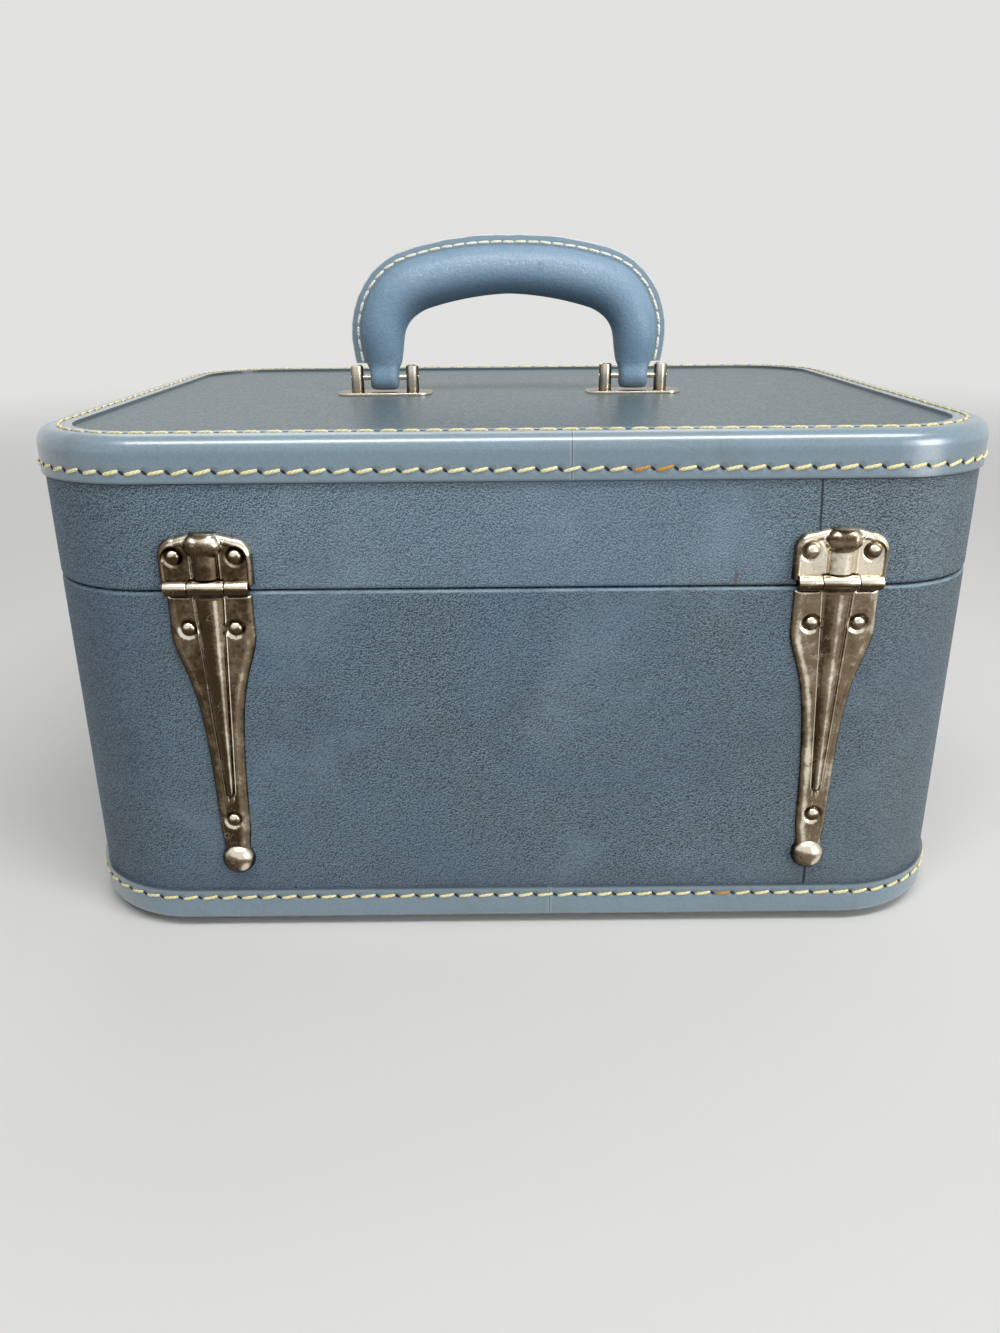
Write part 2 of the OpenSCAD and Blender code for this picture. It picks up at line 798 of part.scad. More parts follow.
module handle_plate(side) {
    color(nickel) difference() {
        translate([side * leg_x, 0, panel_z]) linear_extrude(plate_t)
            rounded_rect(plate_w, plate_d, plate_d * 0.35);
        post_holes();
    }
}

module handle_plate_left() handle_plate(-1);

module handle_plate_right() handle_plate(1);

// Posts are riveted through the plate, the panel and the lid's board
module handle_posts() {
    color(nickel) difference() {
        at_posts() {
            translate([0, 0, ceiling_z])
                cylinder(r = rivet_shank_d / 2, h = panel_z - ceiling_z + post_h / 2);
            translate([0, 0, panel_z + plate_t]) {
                cylinder(r = post_d / 2, h = post_h - plate_t - post_chamfer);
                translate([0, 0, post_h - plate_t - post_chamfer])
                    cylinder(r1 = post_d / 2, r2 = post_d / 2 - post_chamfer, h = post_chamfer);
            }
        }
        for (side = [-1, 1])
            translate([side * leg_x, 0, handle_pin_z]) rod(handle_pin_d / 2 + fit_gap, plate_w);
    }
}

module handle_pins() {
    pin_len = 2 * post_x + post_d;
    color(nickel) for (side = [-1, 1])
        translate([side * leg_x, 0, handle_pin_z]) rod(handle_pin_d / 2, pin_len);
}

// Stations of the grip's left half, each with its place, the direction that faces out, and how far
// it is from the pin along the leg
leg_steps = 4;
bend_steps = 7;
crown_steps = 6;
function bend_point(a) = [-leg_x + bend_r + bend_r * cos(a), bend_z + bend_r * sin(a)];
function crown_point(a) = [crown_r * cos(a), crown_z - crown_r + crown_r * sin(a)];
left_half = concat(
    [for (i = [0:leg_steps - 1])
        [-leg_x, leg_end_z + (bend_z - leg_end_z) * i / leg_steps, 180]],
    [for (i = [0:bend_steps - 1])
        let (a = 180 + (bend_end - 180) * i / bend_steps) [each bend_point(a), a]],
    [for (i = [0:crown_steps])
        let (a = bend_end + (90 - bend_end) * i / crown_steps) [each crown_point(a), a]]);
middle = len(left_half) - 1;
grip_line = concat(left_half,
    [for (i = [middle - 1:-1:0]) [-left_half[i][0], left_half[i][1], 180 - left_half[i][2]]]);

// The grip thins towards the lower end of each leg and is fuller round its shoulders
function swell(z) = let (s = min((z - leg_end_z) / (bend_z - leg_end_z + swell_over), 1)) sin(90 * s);
function fuller(angle) = let (lean = abs(cos(angle))) shoulder_full * 4 * lean * (1 - lean);
function grip_a(station) = grip_t / 2 * (0.82 + 0.18 * swell(station[1])) + fuller(station[2]);
function grip_b(z) = grip_depth / 2 * (0.62 + 0.38 * swell(z));

ring_n = 18;
function ring_point(station, out, side) =
    [station[0] + out * cos(station[2]), side, station[1] + out * sin(station[2])];

// Ring round the leather: an oval with the stitched flange on its outer side
function cover_ring(station) = let (a = grip_a(station), b = grip_b(station[1]))
    [for (i = [0:ring_n - 1])
        let (t = 360 * (i + 0.5) / ring_n, fin = (i == 0 || i == ring_n - 1))
        ring_point(station,
            fin ? a + flange_reach : a * cos(t),
            fin ? sign(sin(t)) * flange_t / 2 : b * sin(t))];

// Ring inside the leather, or a little further in for the padded core that fills it
function core_ring(station, gap = 0) =
    let (in = leather_t + gap, a = grip_a(station) - in, b = grip_b(station[1]) - in)
    [for (i = [0:ring_n - 1])
        let (t = 360 * (i + 0.5) / ring_n) ring_point(station, a * cos(t), b * sin(t))];

// Leather sheath, open at its two lower ends
module sheath(outer, inner) {
    n = len(outer[0]);
    m = len(outer);
    skip = n * m;
    faces = concat(
        [for (k = [0:m - 2], i = [0:n - 1])
            [k * n + i, (k + 1) * n + i, (k + 1) * n + (i + 1) % n, k * n + (i + 1) % n]],
        [for (k = [0:m - 2], i = [0:n - 1]) let (a = skip + k * n, b = a + n, j = (i + 1) % n)
            [a + j, b + j, b + i, a + i]],
        [for (i = [0:n - 1]) [i, (i + 1) % n, skip + (i + 1) % n, skip + i]],
        [for (i = [0:n - 1]) let (e = (m - 1) * n)
            [e + (i + 1) % n, e + i, skip + e + i, skip + e + (i + 1) % n]]);
    polyhedron(concat([for (ring = outer) each ring], [for (ring = inner) each ring]), faces,
        convexity = 8);
}

module handle_cover() {
    color(binding_blue)
        sheath([for (s = grip_line) cover_ring(s)], [for (s = grip_line) core_ring(s)]);
}

module handle_core() {
    color(board) difference() {
        loft([for (s = grip_line) core_ring(s, core_gap)]);
        for (side = [-1, 1])
            translate([side * leg_x, 0, leg_end_z + tab_len / 2 - 1])
                cube([tab_w, tab_t, tab_len + 2], center = true);
    }
}

// Loop that turns on its pin, with a tab that is set into the core
module handle_loop(side) {
    neck_t = loop_d * 0.66;
    color(binding_blue) translate([side * leg_x, 0, handle_pin_z]) difference() {
        union() {
            rod(loop_d / 2, loop_w);
            translate([-loop_w / 2, -neck_t / 2, 0]) cube([loop_w, neck_t, leg_end_z - handle_pin_z]);
            translate([-tab_w / 2, -tab_t / 2, 0])
                cube([tab_w, tab_t, leg_end_z - handle_pin_z + tab_len]);
        }
        rod(handle_pin_d / 2 + run_gap, loop_w + 1);
    }
}

module handle_loop_left() handle_loop(-1);

module handle_loop_right() handle_loop(1);

// Latches

// Sheet with rounded corners, standing on the cover; z0 is its middle height
module face_sheet(w, h, t, r, z0, out = 0) {
    translate([0, out + t, z0]) rotate([90, 0, 0]) linear_extrude(t) rounded_rect(w, h, r);
}

latch_mid = -latch_drop - latch_tall / 2;
housing_tall = latch_tall - 2 * housing_margin;

module latch_plate() {
    color(steel) difference() {
        face_sheet(latch_w, latch_tall, sheet_t, latch_corner_r, latch_mid);
        at_points(latch_rivets) rivet_hole();
    }
}

module latch_plate_left() at_latch(-1) latch_plate();

module latch_plate_right() at_latch(1) latch_plate();

// Raised housing with an open-topped notch for the hasp's tongue and a slot for the thumb slide
module latch_housing() {
    notch_w = tongue_w + 2 * pass_gap;
    notch_low = hasp_up - tongue_down - tongue_t / 2 - pass_gap;
    slot_w = button_w - stem_in + slide_travel + 2 * pass_gap;
    color(steel) difference() {
        face_sheet(housing_w, housing_tall, housing_h, housing_corner_r, latch_mid, sheet_t);
        face_sheet(housing_w - 2 * housing_t, housing_tall - 2 * housing_t, housing_h - housing_t,
            housing_corner_r - housing_t, latch_mid, sheet_t);
        translate([-notch_w / 2, 0, notch_low]) cube([notch_w, 2 * housing_h, latch_tall]);
        translate([-(button_w - stem_in) / 2 - pass_gap, sheet_t, -button_down - stem_t / 2 - pass_gap])
            cube([slot_w, 2 * housing_h, stem_t + 2 * pass_gap]);
        // Keyhole
        translate([latch_corner_r - housing_w / 2, 2 * sheet_t, keyhole_r - button_down])
            rotate([-90, 0, 0]) {
                cylinder(r = keyhole_r, h = housing_h);
                translate([-keyhole_r / 2, 0, 0]) cube([keyhole_r, keyhole_len, housing_h]);
            }
    }
}

module latch_housing_left() at_latch(-1) latch_housing();

module latch_housing_right() at_latch(1) mirror([1, 0, 0]) latch_housing();

module latch_plate_rivets() {
    color(nickel) for (side = [-1, 1]) at_latch(side) at_points(latch_rivets) rivet(sheet_t);
}

// Thumb slide: the ribbed button outside, its stem in the slot and the bolt inside the housing
module latch_slide() {
    stem_w = button_w - stem_in;
    bolt_y = sheet_t + bolt_gap;
    bolt_tall = stem_t + 2 * bite;
    under_y = sheet_t + housing_h + pass_gap / 2;
    face_y = hardware_out - button_rib_r;
    color(nickel) {
        translate([-stem_w / 2, bolt_y, -button_down - stem_t / 2])
            cube([stem_w, under_y + bite - bolt_y, stem_t]);
        translate([-button_w / 2, under_y, -button_down - button_tall / 2])
            cube([button_w, face_y - under_y, button_tall]);
        for (k = [-1:1])
            translate([k * button_w / 4, face_y, -button_down])
                cylinder(r = button_rib_r, h = button_tall, center = true);
        // Bolt, with the arm that stops just short of the tongue
        translate([-stem_w / 2 - 2 * bite, bolt_y, -button_down - bolt_tall / 2])
            cube([stem_w + 4 * bite, bolt_t, bolt_tall]);
        translate([tongue_w / 2 + pass_gap, bolt_y, -button_down - bolt_tall / 2])
            cube([bolt_arm_w, bolt_t, button_down + bolt_tall / 2 + hasp_up - tongue_down + tongue_t / 2]);
    }
}

module latch_slide_left() at_latch(-1) latch_slide();

module latch_slide_right() at_latch(1) mirror([1, 0, 0]) latch_slide();

// Plate on the lid with the two outer knuckles of the hasp's hinge
module hasp_plate() {
    outer_len = (hasp_w - hasp_knuckle_len) / 2 - knuckle_gap;
    color(steel) difference() {
        union() {
            face_sheet(hasp_plate_w, hasp_plate_up - hasp_plate_low, sheet_t, latch_corner_r,
                hasp_up + (hasp_plate_up + hasp_plate_low) / 2);
            for (side = [-1, 1])
                translate([side * (hasp_w - outer_len) / 2, 0, hasp_up]) {
                    translate([0, hasp_pin_out, 0]) rod(hasp_knuckle_d / 2, outer_len);
                    translate([-outer_len / 2, pass_gap, 0])
                        cube([outer_len, hasp_knuckle_d / 2, hasp_knuckle_d / 2]);
                }
        }
        translate([0, hasp_pin_out, hasp_up]) {
            rod(hasp_pin_d / 2 + fit_gap, hasp_w + 1);
            rod(hasp_knuckle_d / 2 + pass_gap, hasp_knuckle_len + 2 * knuckle_gap);
        }
        at_points(hasp_rivets) rivet_hole();
    }
}

module hasp_plate_left() at_latch(-1) hasp_plate();

module hasp_plate_right() at_latch(1) hasp_plate();

module hasp_plate_rivets() {
    color(nickel) for (side = [-1, 1]) at_latch(side) at_points(hasp_rivets) rivet(sheet_t);
}

module hasp_pins() {
    color(nickel) for (side = [-1, 1]) at_latch(side)
        translate([0, hasp_pin_out, hasp_up]) rod(hasp_pin_d / 2, hasp_w);
}

// Hasp: a plate that hangs over the housing, with a tongue behind it and a rolled finger lip
module hasp() {
    knuckle_r = hasp_knuckle_d / 2;
    low = hasp_up - hasp_len;
    plate_h = hasp_len - knuckle_r;
    face_y = hasp_in + sheet_t;
    lip_r = (hardware_out - hasp_in) / 2;
    color(nickel) difference() {
        union() {
            translate([0, hasp_pin_out, hasp_up]) rod(knuckle_r, hasp_knuckle_len);
            face_sheet(hasp_w, plate_h, sheet_t, hasp_corner_r, low + plate_h / 2, hasp_in);
            translate([0, hasp_in + lip_r, low + lip_r]) rod(lip_r, hasp_w / 2);
            translate([-hasp_knuckle_len / 2, hasp_pin_out, hasp_up - knuckle_r - 1])
                cube([hasp_knuckle_len, face_y - hasp_pin_out, knuckle_r + 1]);
            translate([-tongue_w / 2, tongue_out, hasp_up - tongue_down - tongue_t / 2])
                cube([tongue_w, hasp_in - tongue_out + bite, tongue_t]);
        }
        translate([0, hasp_pin_out, hasp_up]) rod(hasp_pin_d / 2 + run_gap, hasp_w);
    }
}

module hasp_left() at_latch(-1) hasp();

module hasp_right() at_latch(1) hasp();

// Inside

// Flat sheet with the tray's plan, a depth in from its outside
module tray_sheet(depth) {
    linear_extrude(tray_h) rounded_rect(case_w - 2 * (tray_in + depth), case_d - 2 * (tray_in + depth),
        corner_r - tray_in + tray_round - depth);
}

module tray() {
    color(lining_blue) translate([0, 0, tray_z]) difference() {
        tray_sheet(0);
        translate([0, 0, tray_t]) tray_sheet(tray_t);
    }
}

module tray_divider() {
    len = case_d - 2 * (tray_in + tray_t);
    tall = tray_h - tray_t - divider_down;
    color(lining_blue) translate([divider_x, 0, tray_z + tray_t + tall / 2])
        cube([tray_t, len, tall], center = true);
}

body_frame();
bottom_board();
body_cover();
bottom_cover();
bottom_binding();
feet();
body_lining();
floor_pad();
tray_ledges();
hinge_leaf_left();
hinge_leaf_right();
hinge_leaf_rivets();
latch_plate_left();
latch_plate_right();
latch_housing_left();
latch_housing_right();
latch_plate_rivets();
latch_slide_left();
latch_slide_right();
lid_frame();
lid_board();
lid_cover();
lid_panel();
lid_binding();
lid_lining();
lid_pad();
mirror_frame();
mirror_glass();
hinge_cap_left();
hinge_cap_right();
hinge_cap_rivets();
hinge_pins();
handle_plate_left();
handle_plate_right();
handle_posts();
handle_pins();
handle_cover();
handle_core();
handle_loop_left();
handle_loop_right();
hasp_plate_left();
hasp_plate_right();
hasp_plate_rivets();
hasp_pins();
hasp_left();
hasp_right();
tray();
tray_divider();
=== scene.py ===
"""Dresses the frame of a cosmetic train case: leatherette, bindings, thread, nickel, lining and stage."""
import json
import math
import random
from collections import namedtuple

import bmesh
import bpy
from mathutils import Matrix, Vector

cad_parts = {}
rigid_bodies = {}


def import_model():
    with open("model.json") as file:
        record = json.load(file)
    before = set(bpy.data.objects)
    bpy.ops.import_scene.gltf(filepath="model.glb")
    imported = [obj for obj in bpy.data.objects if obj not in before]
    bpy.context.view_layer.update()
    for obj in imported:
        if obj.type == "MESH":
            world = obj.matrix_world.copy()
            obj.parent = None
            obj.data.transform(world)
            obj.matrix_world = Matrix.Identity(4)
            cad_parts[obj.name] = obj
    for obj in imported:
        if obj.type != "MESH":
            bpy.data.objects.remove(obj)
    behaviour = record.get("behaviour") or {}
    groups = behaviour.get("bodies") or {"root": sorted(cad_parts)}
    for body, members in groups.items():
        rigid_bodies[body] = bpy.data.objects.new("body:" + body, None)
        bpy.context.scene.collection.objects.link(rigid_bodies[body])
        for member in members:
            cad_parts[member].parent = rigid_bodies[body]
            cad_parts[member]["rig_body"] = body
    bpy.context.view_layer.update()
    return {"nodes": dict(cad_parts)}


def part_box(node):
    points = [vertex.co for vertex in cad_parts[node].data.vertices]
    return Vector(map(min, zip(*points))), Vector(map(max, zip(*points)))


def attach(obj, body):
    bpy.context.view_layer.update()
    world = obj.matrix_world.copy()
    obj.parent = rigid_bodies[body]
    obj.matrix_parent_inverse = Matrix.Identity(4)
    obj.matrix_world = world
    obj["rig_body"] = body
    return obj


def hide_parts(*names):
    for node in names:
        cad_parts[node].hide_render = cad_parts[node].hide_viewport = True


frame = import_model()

bl_info = {
    "name": "Cosmetic train case",
    "version": (1, 0, 0),
    "blender": (4, 5, 0),
    "location": "3D View > Sidebar > Train case",
    "description": "Finishes a hard train case: covering, bindings, handle, hinges, latches and lining",
    "category": "Object",
}

NODES = frame["nodes"]
MM = 0.001

# Places taken from the frame
LID_LOW, LID_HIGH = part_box("lid_binding")
BODY_LOW, BODY_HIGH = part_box("bottom_binding")
PIN_LOW, PIN_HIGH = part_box("handle_pins")
PIN_Z = (PIN_LOW.z + PIN_HIGH.z) / 2
GRIP_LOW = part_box("handle_cover")[0]
LOOP_LOW, LOOP_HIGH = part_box("handle_loop_left")
SEAM_Z = (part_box("body_cover")[1].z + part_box("lid_cover")[0].z) / 2
HALF_W, HALF_D = LID_HIGH.x, LID_HIGH.y

# Points further back than this lie on the back of the case
BACK_Y = 0.08
# Distances in from the outside of a binding: its upright wall ends, its flat part starts, its inner edge
WALL_INSET, FLAT_INSET, INNER_INSET = 0.0012, 0.004, 0.0112
# Painted light added to the hinge on the picture's right, and painted shade to the one on its left
LIT_HINGE_BIAS, SHADED_HINGE_BIAS = 0.19, -0.07
# How far the hinges' rivets sit below the face of their leaf
RIVET_SUNK = 0.0004
# The long leaf: rounded end of its rib, how far its sides and its top edge stand out, and that edge's round
RIB_END, SIDE_OUT, TOP_OUT, TOP_ROUND = 0.002, 0.0002, 0.0006, 0.0009
LeafLevel = namedtuple("LeafLevel", "down rib left line near start half")
# The short leaf: width of its rim at the sides and size of the soft joint between bulb and face
SIDE_RIM, BULB_JOINT = 0.0017, 0.0006
# Small marks on the back of the lid
RUST_MARK = {"place": -0.0734, "height": 0.1356, "wide": 0.0011, "tall": 0.0034}
SCRAPE = {"place": -0.048, "height": 0.1532, "wide": 0.0074, "tall": 0.0005}
# Quilted pads: how far they stay inside their node, the round of their rim, a square's diagonal
PAD_INSET, PAD_ROUND, DIAGONAL = 0.0004, 0.006, 1.414
# The painted shadow of an awl hole: length, width and thickness of its dark lens
HOLE_SHADOW = (0.0024, 0.0011, 0.0003)
# Places of the rusty stitches on the back
LID_RUST, BODY_RUST = (-0.049, -0.0417), (-0.079,)
# Steps along the grip's centre line and points round it
GRIP_STEP, GRIP_SIDES = 0.0035, 24
# Angle under which two faces are shaded as one
SMOOTH_ANGLE = math.radians(35)


def srgb(red, green, blue):
    """Linear colour from the 0 to 255 values of a colour picker."""
    return tuple(c / 12.92 if c <= 0.04045 else ((c + 0.055) / 1.055) ** 2.4
                 for c in (red / 255, green / 255, blue / 255))


def times(tint, *shares):
    """A colour with all its channels, or each of them, made darker."""
    return tuple(c * share for c, share in zip(tint, shares if len(shares) > 1 else shares * 3))


def colour(name, description, red, green, blue):
    """A setting for a colour, given in the 0 to 255 values of a colour picker."""
    return bpy.props.FloatVectorProperty(name=name, description=description, subtype="COLOR", size=3,
                                         min=0.0, max=1.0, default=srgb(red, green, blue))


def length(name, description, millimetres):
    """A setting for a length."""
    return bpy.props.FloatProperty(name=name, description=description, subtype="DISTANCE", unit="LENGTH",
                                   default=millimetres * MM, precision=5)


def amount(name, description, value):
    """A setting for a number: a count of at least one, or a measure that isn't negative."""
    whole = isinstance(value, int)
    kind = bpy.props.IntProperty if whole else bpy.props.FloatProperty
    return kind(name=name, description=description, default=value, min=int(whole))


class CaseLeather(bpy.types.PropertyGroup):
    # The grain's two colours also carry its painted relief light and shade
    grain_high: colour("Raised grain", "Colour on top of the cover's grain", 120, 141, 153)
    grain_low: colour("Deep grain", "Colour between the bumps of the cover's grain", 34, 48, 59)
    grain_size: length("Grain size", "Width of one bump in the cover's grain", 0.44)
    binding: colour("Binding", "Colour of the edge bindings", 103, 131, 148)
    panel: colour("Top panel", "Colour of the smooth panel on the lid", 80, 95, 100)
    grip: colour("Grip", "Colour of the handle's leather", 119, 149, 173)
    # Also the colour of the grip's painted highlight band
    grip_sheen: colour("Grip sheen", "Colour of the handle where hands have rubbed it", 148, 170, 188)
    cut_edge: colour("Cut edge", "Colour of the flange along the handle", 206, 216, 222)
    corner: length("Corner radius", "Radius of the case's upright corners, at the bindings", 42.5)
    lid_seam: length("Lid seam", "Place of the cover's butt seam on the lid, from the back's middle", -100.5)
    body_seam: length("Body seam", "Place of the cover's butt seam on the body", -107.2)
    lid_butt: length("Lid binding joint", "Place where the ends of the lid's binding meet", -18.3)
    body_butt: length("Body binding joint", "Place where the ends of the body's binding meet", -12.7)


class CaseThread(bpy.types.PropertyGroup):
    thread: colour("Thread", "Colour of the stitching", 240, 230, 180)
    white: colour("Handle thread", "Colour of the stitching on the handle", 250, 248, 236)
    stained: colour("Stained thread", "Colour of the few rusty stitches", 198, 144, 72)
    side_count: amount("Stitches round a side", "Even number of stitches in each row round the sides", 150)
    top_count: amount("Stitches round the top", "Even number of stitches in the rows on top and below", 144)
    stitch: length("Stitch length", "Length of one stitch in the bindings", 6.1)
    thick: length("Thread thickness", "Thickness of the thread in the bindings", 1.14)
    lid_row: length("Lid row", "Height of the lid's side row above the edge of its binding", 3.6)
    body_row: length("Body row", "Distance of the body's side row below the edge of its binding", 3.1)
    top_inset: length("Top row", "Distance of the row on the top from the outside of the binding", 7.6)
    grip_pitch: length("Handle pitch", "Distance from stitch to stitch along the handle", 5.0)
    grip_stitch: length("Handle stitch", "Length of one stitch on the handle", 5.4)
    grip_thick: length("Handle thread", "Thickness of the thread on the handle", 1.15)


class CaseGrip(bpy.types.PropertyGroup):
    leg_x: length("Leg distance", "Distance of each leg from the middle of the lid", 53.2)
    bend: length("Bend radius", "Radius of the grip's centre line at its shoulders", 22.0)
    crown: length("Crown radius", "Radius of the grip's centre line over the crown", 131.0)
    crown_z: length("Crown height", "Height of the grip's centre line in the middle", 231.6)
    across: length("Grip thickness", "Thickness of the grip, seen from the front", 19.0)
    deep: length("Grip depth", "Thickness of the grip from front to back", 16.8)
    flange: length("Flange", "How far the stitched flange stands out", 4.0)
    flange_thick: length("Flange thickness", "Thickness of the stitched flange", 2.4)
    shoulder: length("Fuller shoulders", "How much fuller the grip is at its shoulders, on each side", 1.1)


class CaseHinge(bpy.types.PropertyGroup):
    leaf_w: length("Leaf width", "Width of the long leaf at its shoulder", 28.4)
    neck_w: length("Neck width", "Width of the long leaf at its neck", 9.4)
    shoulder: length("Shoulder", "Length of the long leaf's straight shoulder", 14.4)
    fall: length("Fall", "How quickly the long leaf narrows below its shoulder", 18.0)
    leaf_len: length("Leaf length", "Length of the long leaf from its top edge to the ball's centre", 100.6)
    drop: length("Leaf drop", "Distance of the long leaf's top edge below the barrel's centre", 3.1)
    leaf_h: length("Leaf height", "How far the long leaf stands out from the cover", 2.0)
    roll: length("Rolled side", "Width of the long leaf's rolled sides", 2.9)
    rib_w: length("Rib width", "Width of the rib at the top", 8.8)
    rib_tip: length("Rib tip", "Width of the rib at its lower end", 2.2)
    rib_len: length("Rib length", "Length of the rib", 74.5)
    rib_h: length("Rib height", "How far the rib stands out from the leaf", 1.35)
    crease: length("Crease", "Width of the raised line along the rib", 0.65)
    ball: length("Ball", "Diameter of the ball end", 12.0)
    ball_h: length("Ball height", "How far the ball end stands out", 4.9)
    tail_rivet: length("Tail rivet", "Distance of the lowest rivet above the ball's centre", 16.5)
    cap_w: length("Cap width", "Width of the short leaf on the lid", 31.0)
    cap_top: length("Cap top", "Height of the short leaf's top above the barrel's centre", 18.4)
    cap_r: length("Cap corner", "Radius of the short leaf's upper corners", 6.0)
    cap_bow: length("Cap bow", "How far the short leaf's top edge bows up", 1.6)
    cap_h: length("Cap height", "How far the short leaf stands out from the cover", 2.6)
    rim: length("Cap rim", "Width of the short leaf's rounded rim at the top", 3.1)
    bulb_w: length("Bulb width", "Width of the bulb at the top of the short leaf", 12.6)
    bulb_d: length("Bulb depth", "Width of the bulb across its short way", 7.6)
    rivet: length("Rivet", "Diameter of a rivet's head", 5.0)
    barrel: length("Barrel", "Diameter of the barrel", 5.2)
    barrel_len: length("Barrel length", "Length of the barrel", 28.0)
    knuckle: length("Middle knuckle", "Length of the middle knuckle", 12.0)


class CaseMetal(bpy.types.PropertyGroup):
    tarnish: colour("Tarnish", "Colour of the hinges where the plating has gone brown", 68, 54, 38)
    # Also the colour of the metal's painted highlights
    worn_and_highlight: colour("Worn nickel", "Colour of the hinges where they are rubbed bright", 238, 228, 208)
    nickel: colour("Nickel", "Colour of rivets, posts and pins", 214, 206, 192)


class CaseLining(bpy.types.PropertyGroup):
    satin: colour("Satin", "Colour of the lining", 176, 198, 214)
    piping: colour("Frame", "Colour of the mirror's frame", 120, 142, 160)
    tuft: length("Quilting", "Distance between the lines of the quilting", 26.0)
    mirror: colour("Mirror", "Colour of the mirror", 228, 233, 234)


class CaseStage(bpy.types.PropertyGroup):
    floor: colour("Floor", "Colour of the floor", 222, 221, 218)
    backdrop: colour("Background", "Colour behind the case", 226, 226, 224)
    strip: amount("Strip light", "Power of the long light overhead", 13.0)
    top: amount("Top light", "Power of the wide light in front", 3.2)
    side: amount("Side light", "Power of the low light from the right", 1.35)
    lean: amount("Uneven light", "How much weaker the surrounding light is on the left of the picture", 0.8)
    fill: amount("Surrounding light", "Strength of the light from all round", 0.345)


SETTINGS = {"case_leather": CaseLeather, "case_thread": CaseThread, "case_grip": CaseGrip,
            "case_hinge": CaseHinge, "case_metal": CaseMetal, "case_lining": CaseLining,
            "case_stage": CaseStage}


class Wiring:
    """Adds nodes to a shader tree and joins them up."""

    def __init__(self, tree):
        self.tree = tree

    def node(self, kind, inputs=None, **settings):
        """A node with its settings; each input is linked to a socket or set to a value."""
        node = self.tree.nodes.new("ShaderNode" + kind)
        for key, value in settings.items():
            setattr(node, key, value)
        for key, value in (inputs or {}).items():
            if isinstance(value, bpy.types.NodeSocket):
                self.tree.links.new(value, node.inputs[key])
            else:
                node.inputs[key].default_value = value
        return node

    def math(self, operation, a, b=0.0, c=0.0, clamp=False):
        """The result of a Math node."""
        return self.node("Math", {0: a, 1: b, 2: c}, operation=operation, use_clamp=clamp).outputs[0]

    def hypot(self, a, b):
        """Length of the line from 0, 0 to a, b."""
        return self.sqrt(self.mul_add(a, a, self.mul(b, b)))

    def vector(self, operation, a, b=(0.0, 0.0, 0.0), c=(0.0, 0.0, 0.0)):
        """The result of a Vector Math node."""
        return self.node("VectorMath", {0: a, 1: b, 2: c}, operation=operation).outputs[0]

    def ramp(self, value, low, high, to_low=0.0, to_high=1.0, smooth=True):
        """Value between low and high, turned into a share from to_low to to_high."""
        return self.node("MapRange", {"Value": value, "From Min": low, "From Max": high, "To Min": to_low,
                                      "To Max": to_high},
                         interpolation_type="SMOOTHSTEP" if smooth else "LINEAR", clamp=True).outputs[0]

    def mix(self, share, a, b):
        """Colour a turned towards colour b by a share."""
        tint = [c if isinstance(c, bpy.types.NodeSocket) else tuple(c) + (1.0,) for c in (a, b)]
        return self.node("Mix", {0: share, 6: tint[0], 7: tint[1]}, data_type="RGBA",
                         clamp_factor=True).outputs[2]

    def stain(self, tint, mask, share, stain):
        """A colour turned towards a stain where a mask is set, at most by a share."""
        return self.mix(self.mul(mask, share), tint, stain)

    def coords(self):
        """The point in the object's own frame, which is the frame of the whole case."""
        return self.node("TexCoord").outputs["Object"]

    def xyz(self):
        """The three Object coordinates of the point."""
        return self.node("SeparateXYZ", {0: self.coords()}).outputs

    def noise(self, size, detail=3.0, roughness=0.55, stretch=(1.0, 1.0, 1.0)):
        """Noise with features of a size in metres."""
        at = self.vector("MULTIPLY", self.coords(), stretch)
        return self.node("TexNoise", {"Vector": at, "Scale": 1.0 / size, "Detail": detail,
                                      "Roughness": roughness}).outputs[0]

    def use(self, group, **inputs):
        """Places a node group and sets its inputs; underscores stand for spaces."""
        node = self.node("Group")
        node.node_tree = group
        for key, value in inputs.items():
            socket = node.inputs[key.replace("_", " ").capitalize()]
            if isinstance(value, bpy.types.NodeSocket):
                self.tree.links.new(value, socket)
            else:
                socket.default_value = value
        return node.outputs

    def grain(self, size):
        """Height of grain whose bumps have a size."""
        return self.use(leather_grain(), size=size)["Height"]

    def patches(self, size, level, softness, shift):
        """Broad soft patches: their size, how rare and how soft they are, and which part of the pattern."""
        return self.use(blotches(), size=size, level=level, softness=softness, shift=shift)["Mask"]

    def scratched(self, size, width, across=1.0, upright=1.0):
        """Fine broken lines."""
        return self.use(scratches(), size=size, width=width, across=across, upright=upright)["Mask"]


def math_node(operation):
    """A method of Wiring that places a Math node for one operation."""
    return lambda wires, *values: wires.math(operation, *values)


MATHS = {"add": "ADD", "sub": "SUBTRACT", "mul": "MULTIPLY", "mul_add": "MULTIPLY_ADD", "div": "DIVIDE",
         "abs": "ABSOLUTE", "sqrt": "SQRT", "sin": "SINE", "min": "MINIMUM", "max": "MAXIMUM",
         "above": "GREATER_THAN", "below": "LESS_THAN", "sign": "SIGN", "fract": "FRACT",
         "arctan2": "ARCTAN2"}
for short, operation in MATHS.items():
    setattr(Wiring, short, math_node(operation))


def effect(name, inputs, outputs, build):
    """A node group, built once: inputs with their defaults, outputs, and the function that wires it."""
    if name in bpy.data.node_groups:
        return bpy.data.node_groups[name]
    tree = bpy.data.node_groups.new(name, "ShaderNodeTree")
    for label, value in inputs.items():
        socket = tree.interface.new_socket(name=label, in_out="INPUT", socket_type="NodeSocketFloat")
        socket.default_value = value
    for label in outputs:
        tree.interface.new_socket(name=label, in_out="OUTPUT", socket_type="NodeSocketFloat")
    wires = Wiring(tree)
    results = build(wires, tree.nodes.new("NodeGroupInput").outputs)
    end = tree.nodes.new("NodeGroupOutput")
    for label, value in zip(outputs, results):
        tree.links.new(value, end.inputs[label])
    return tree


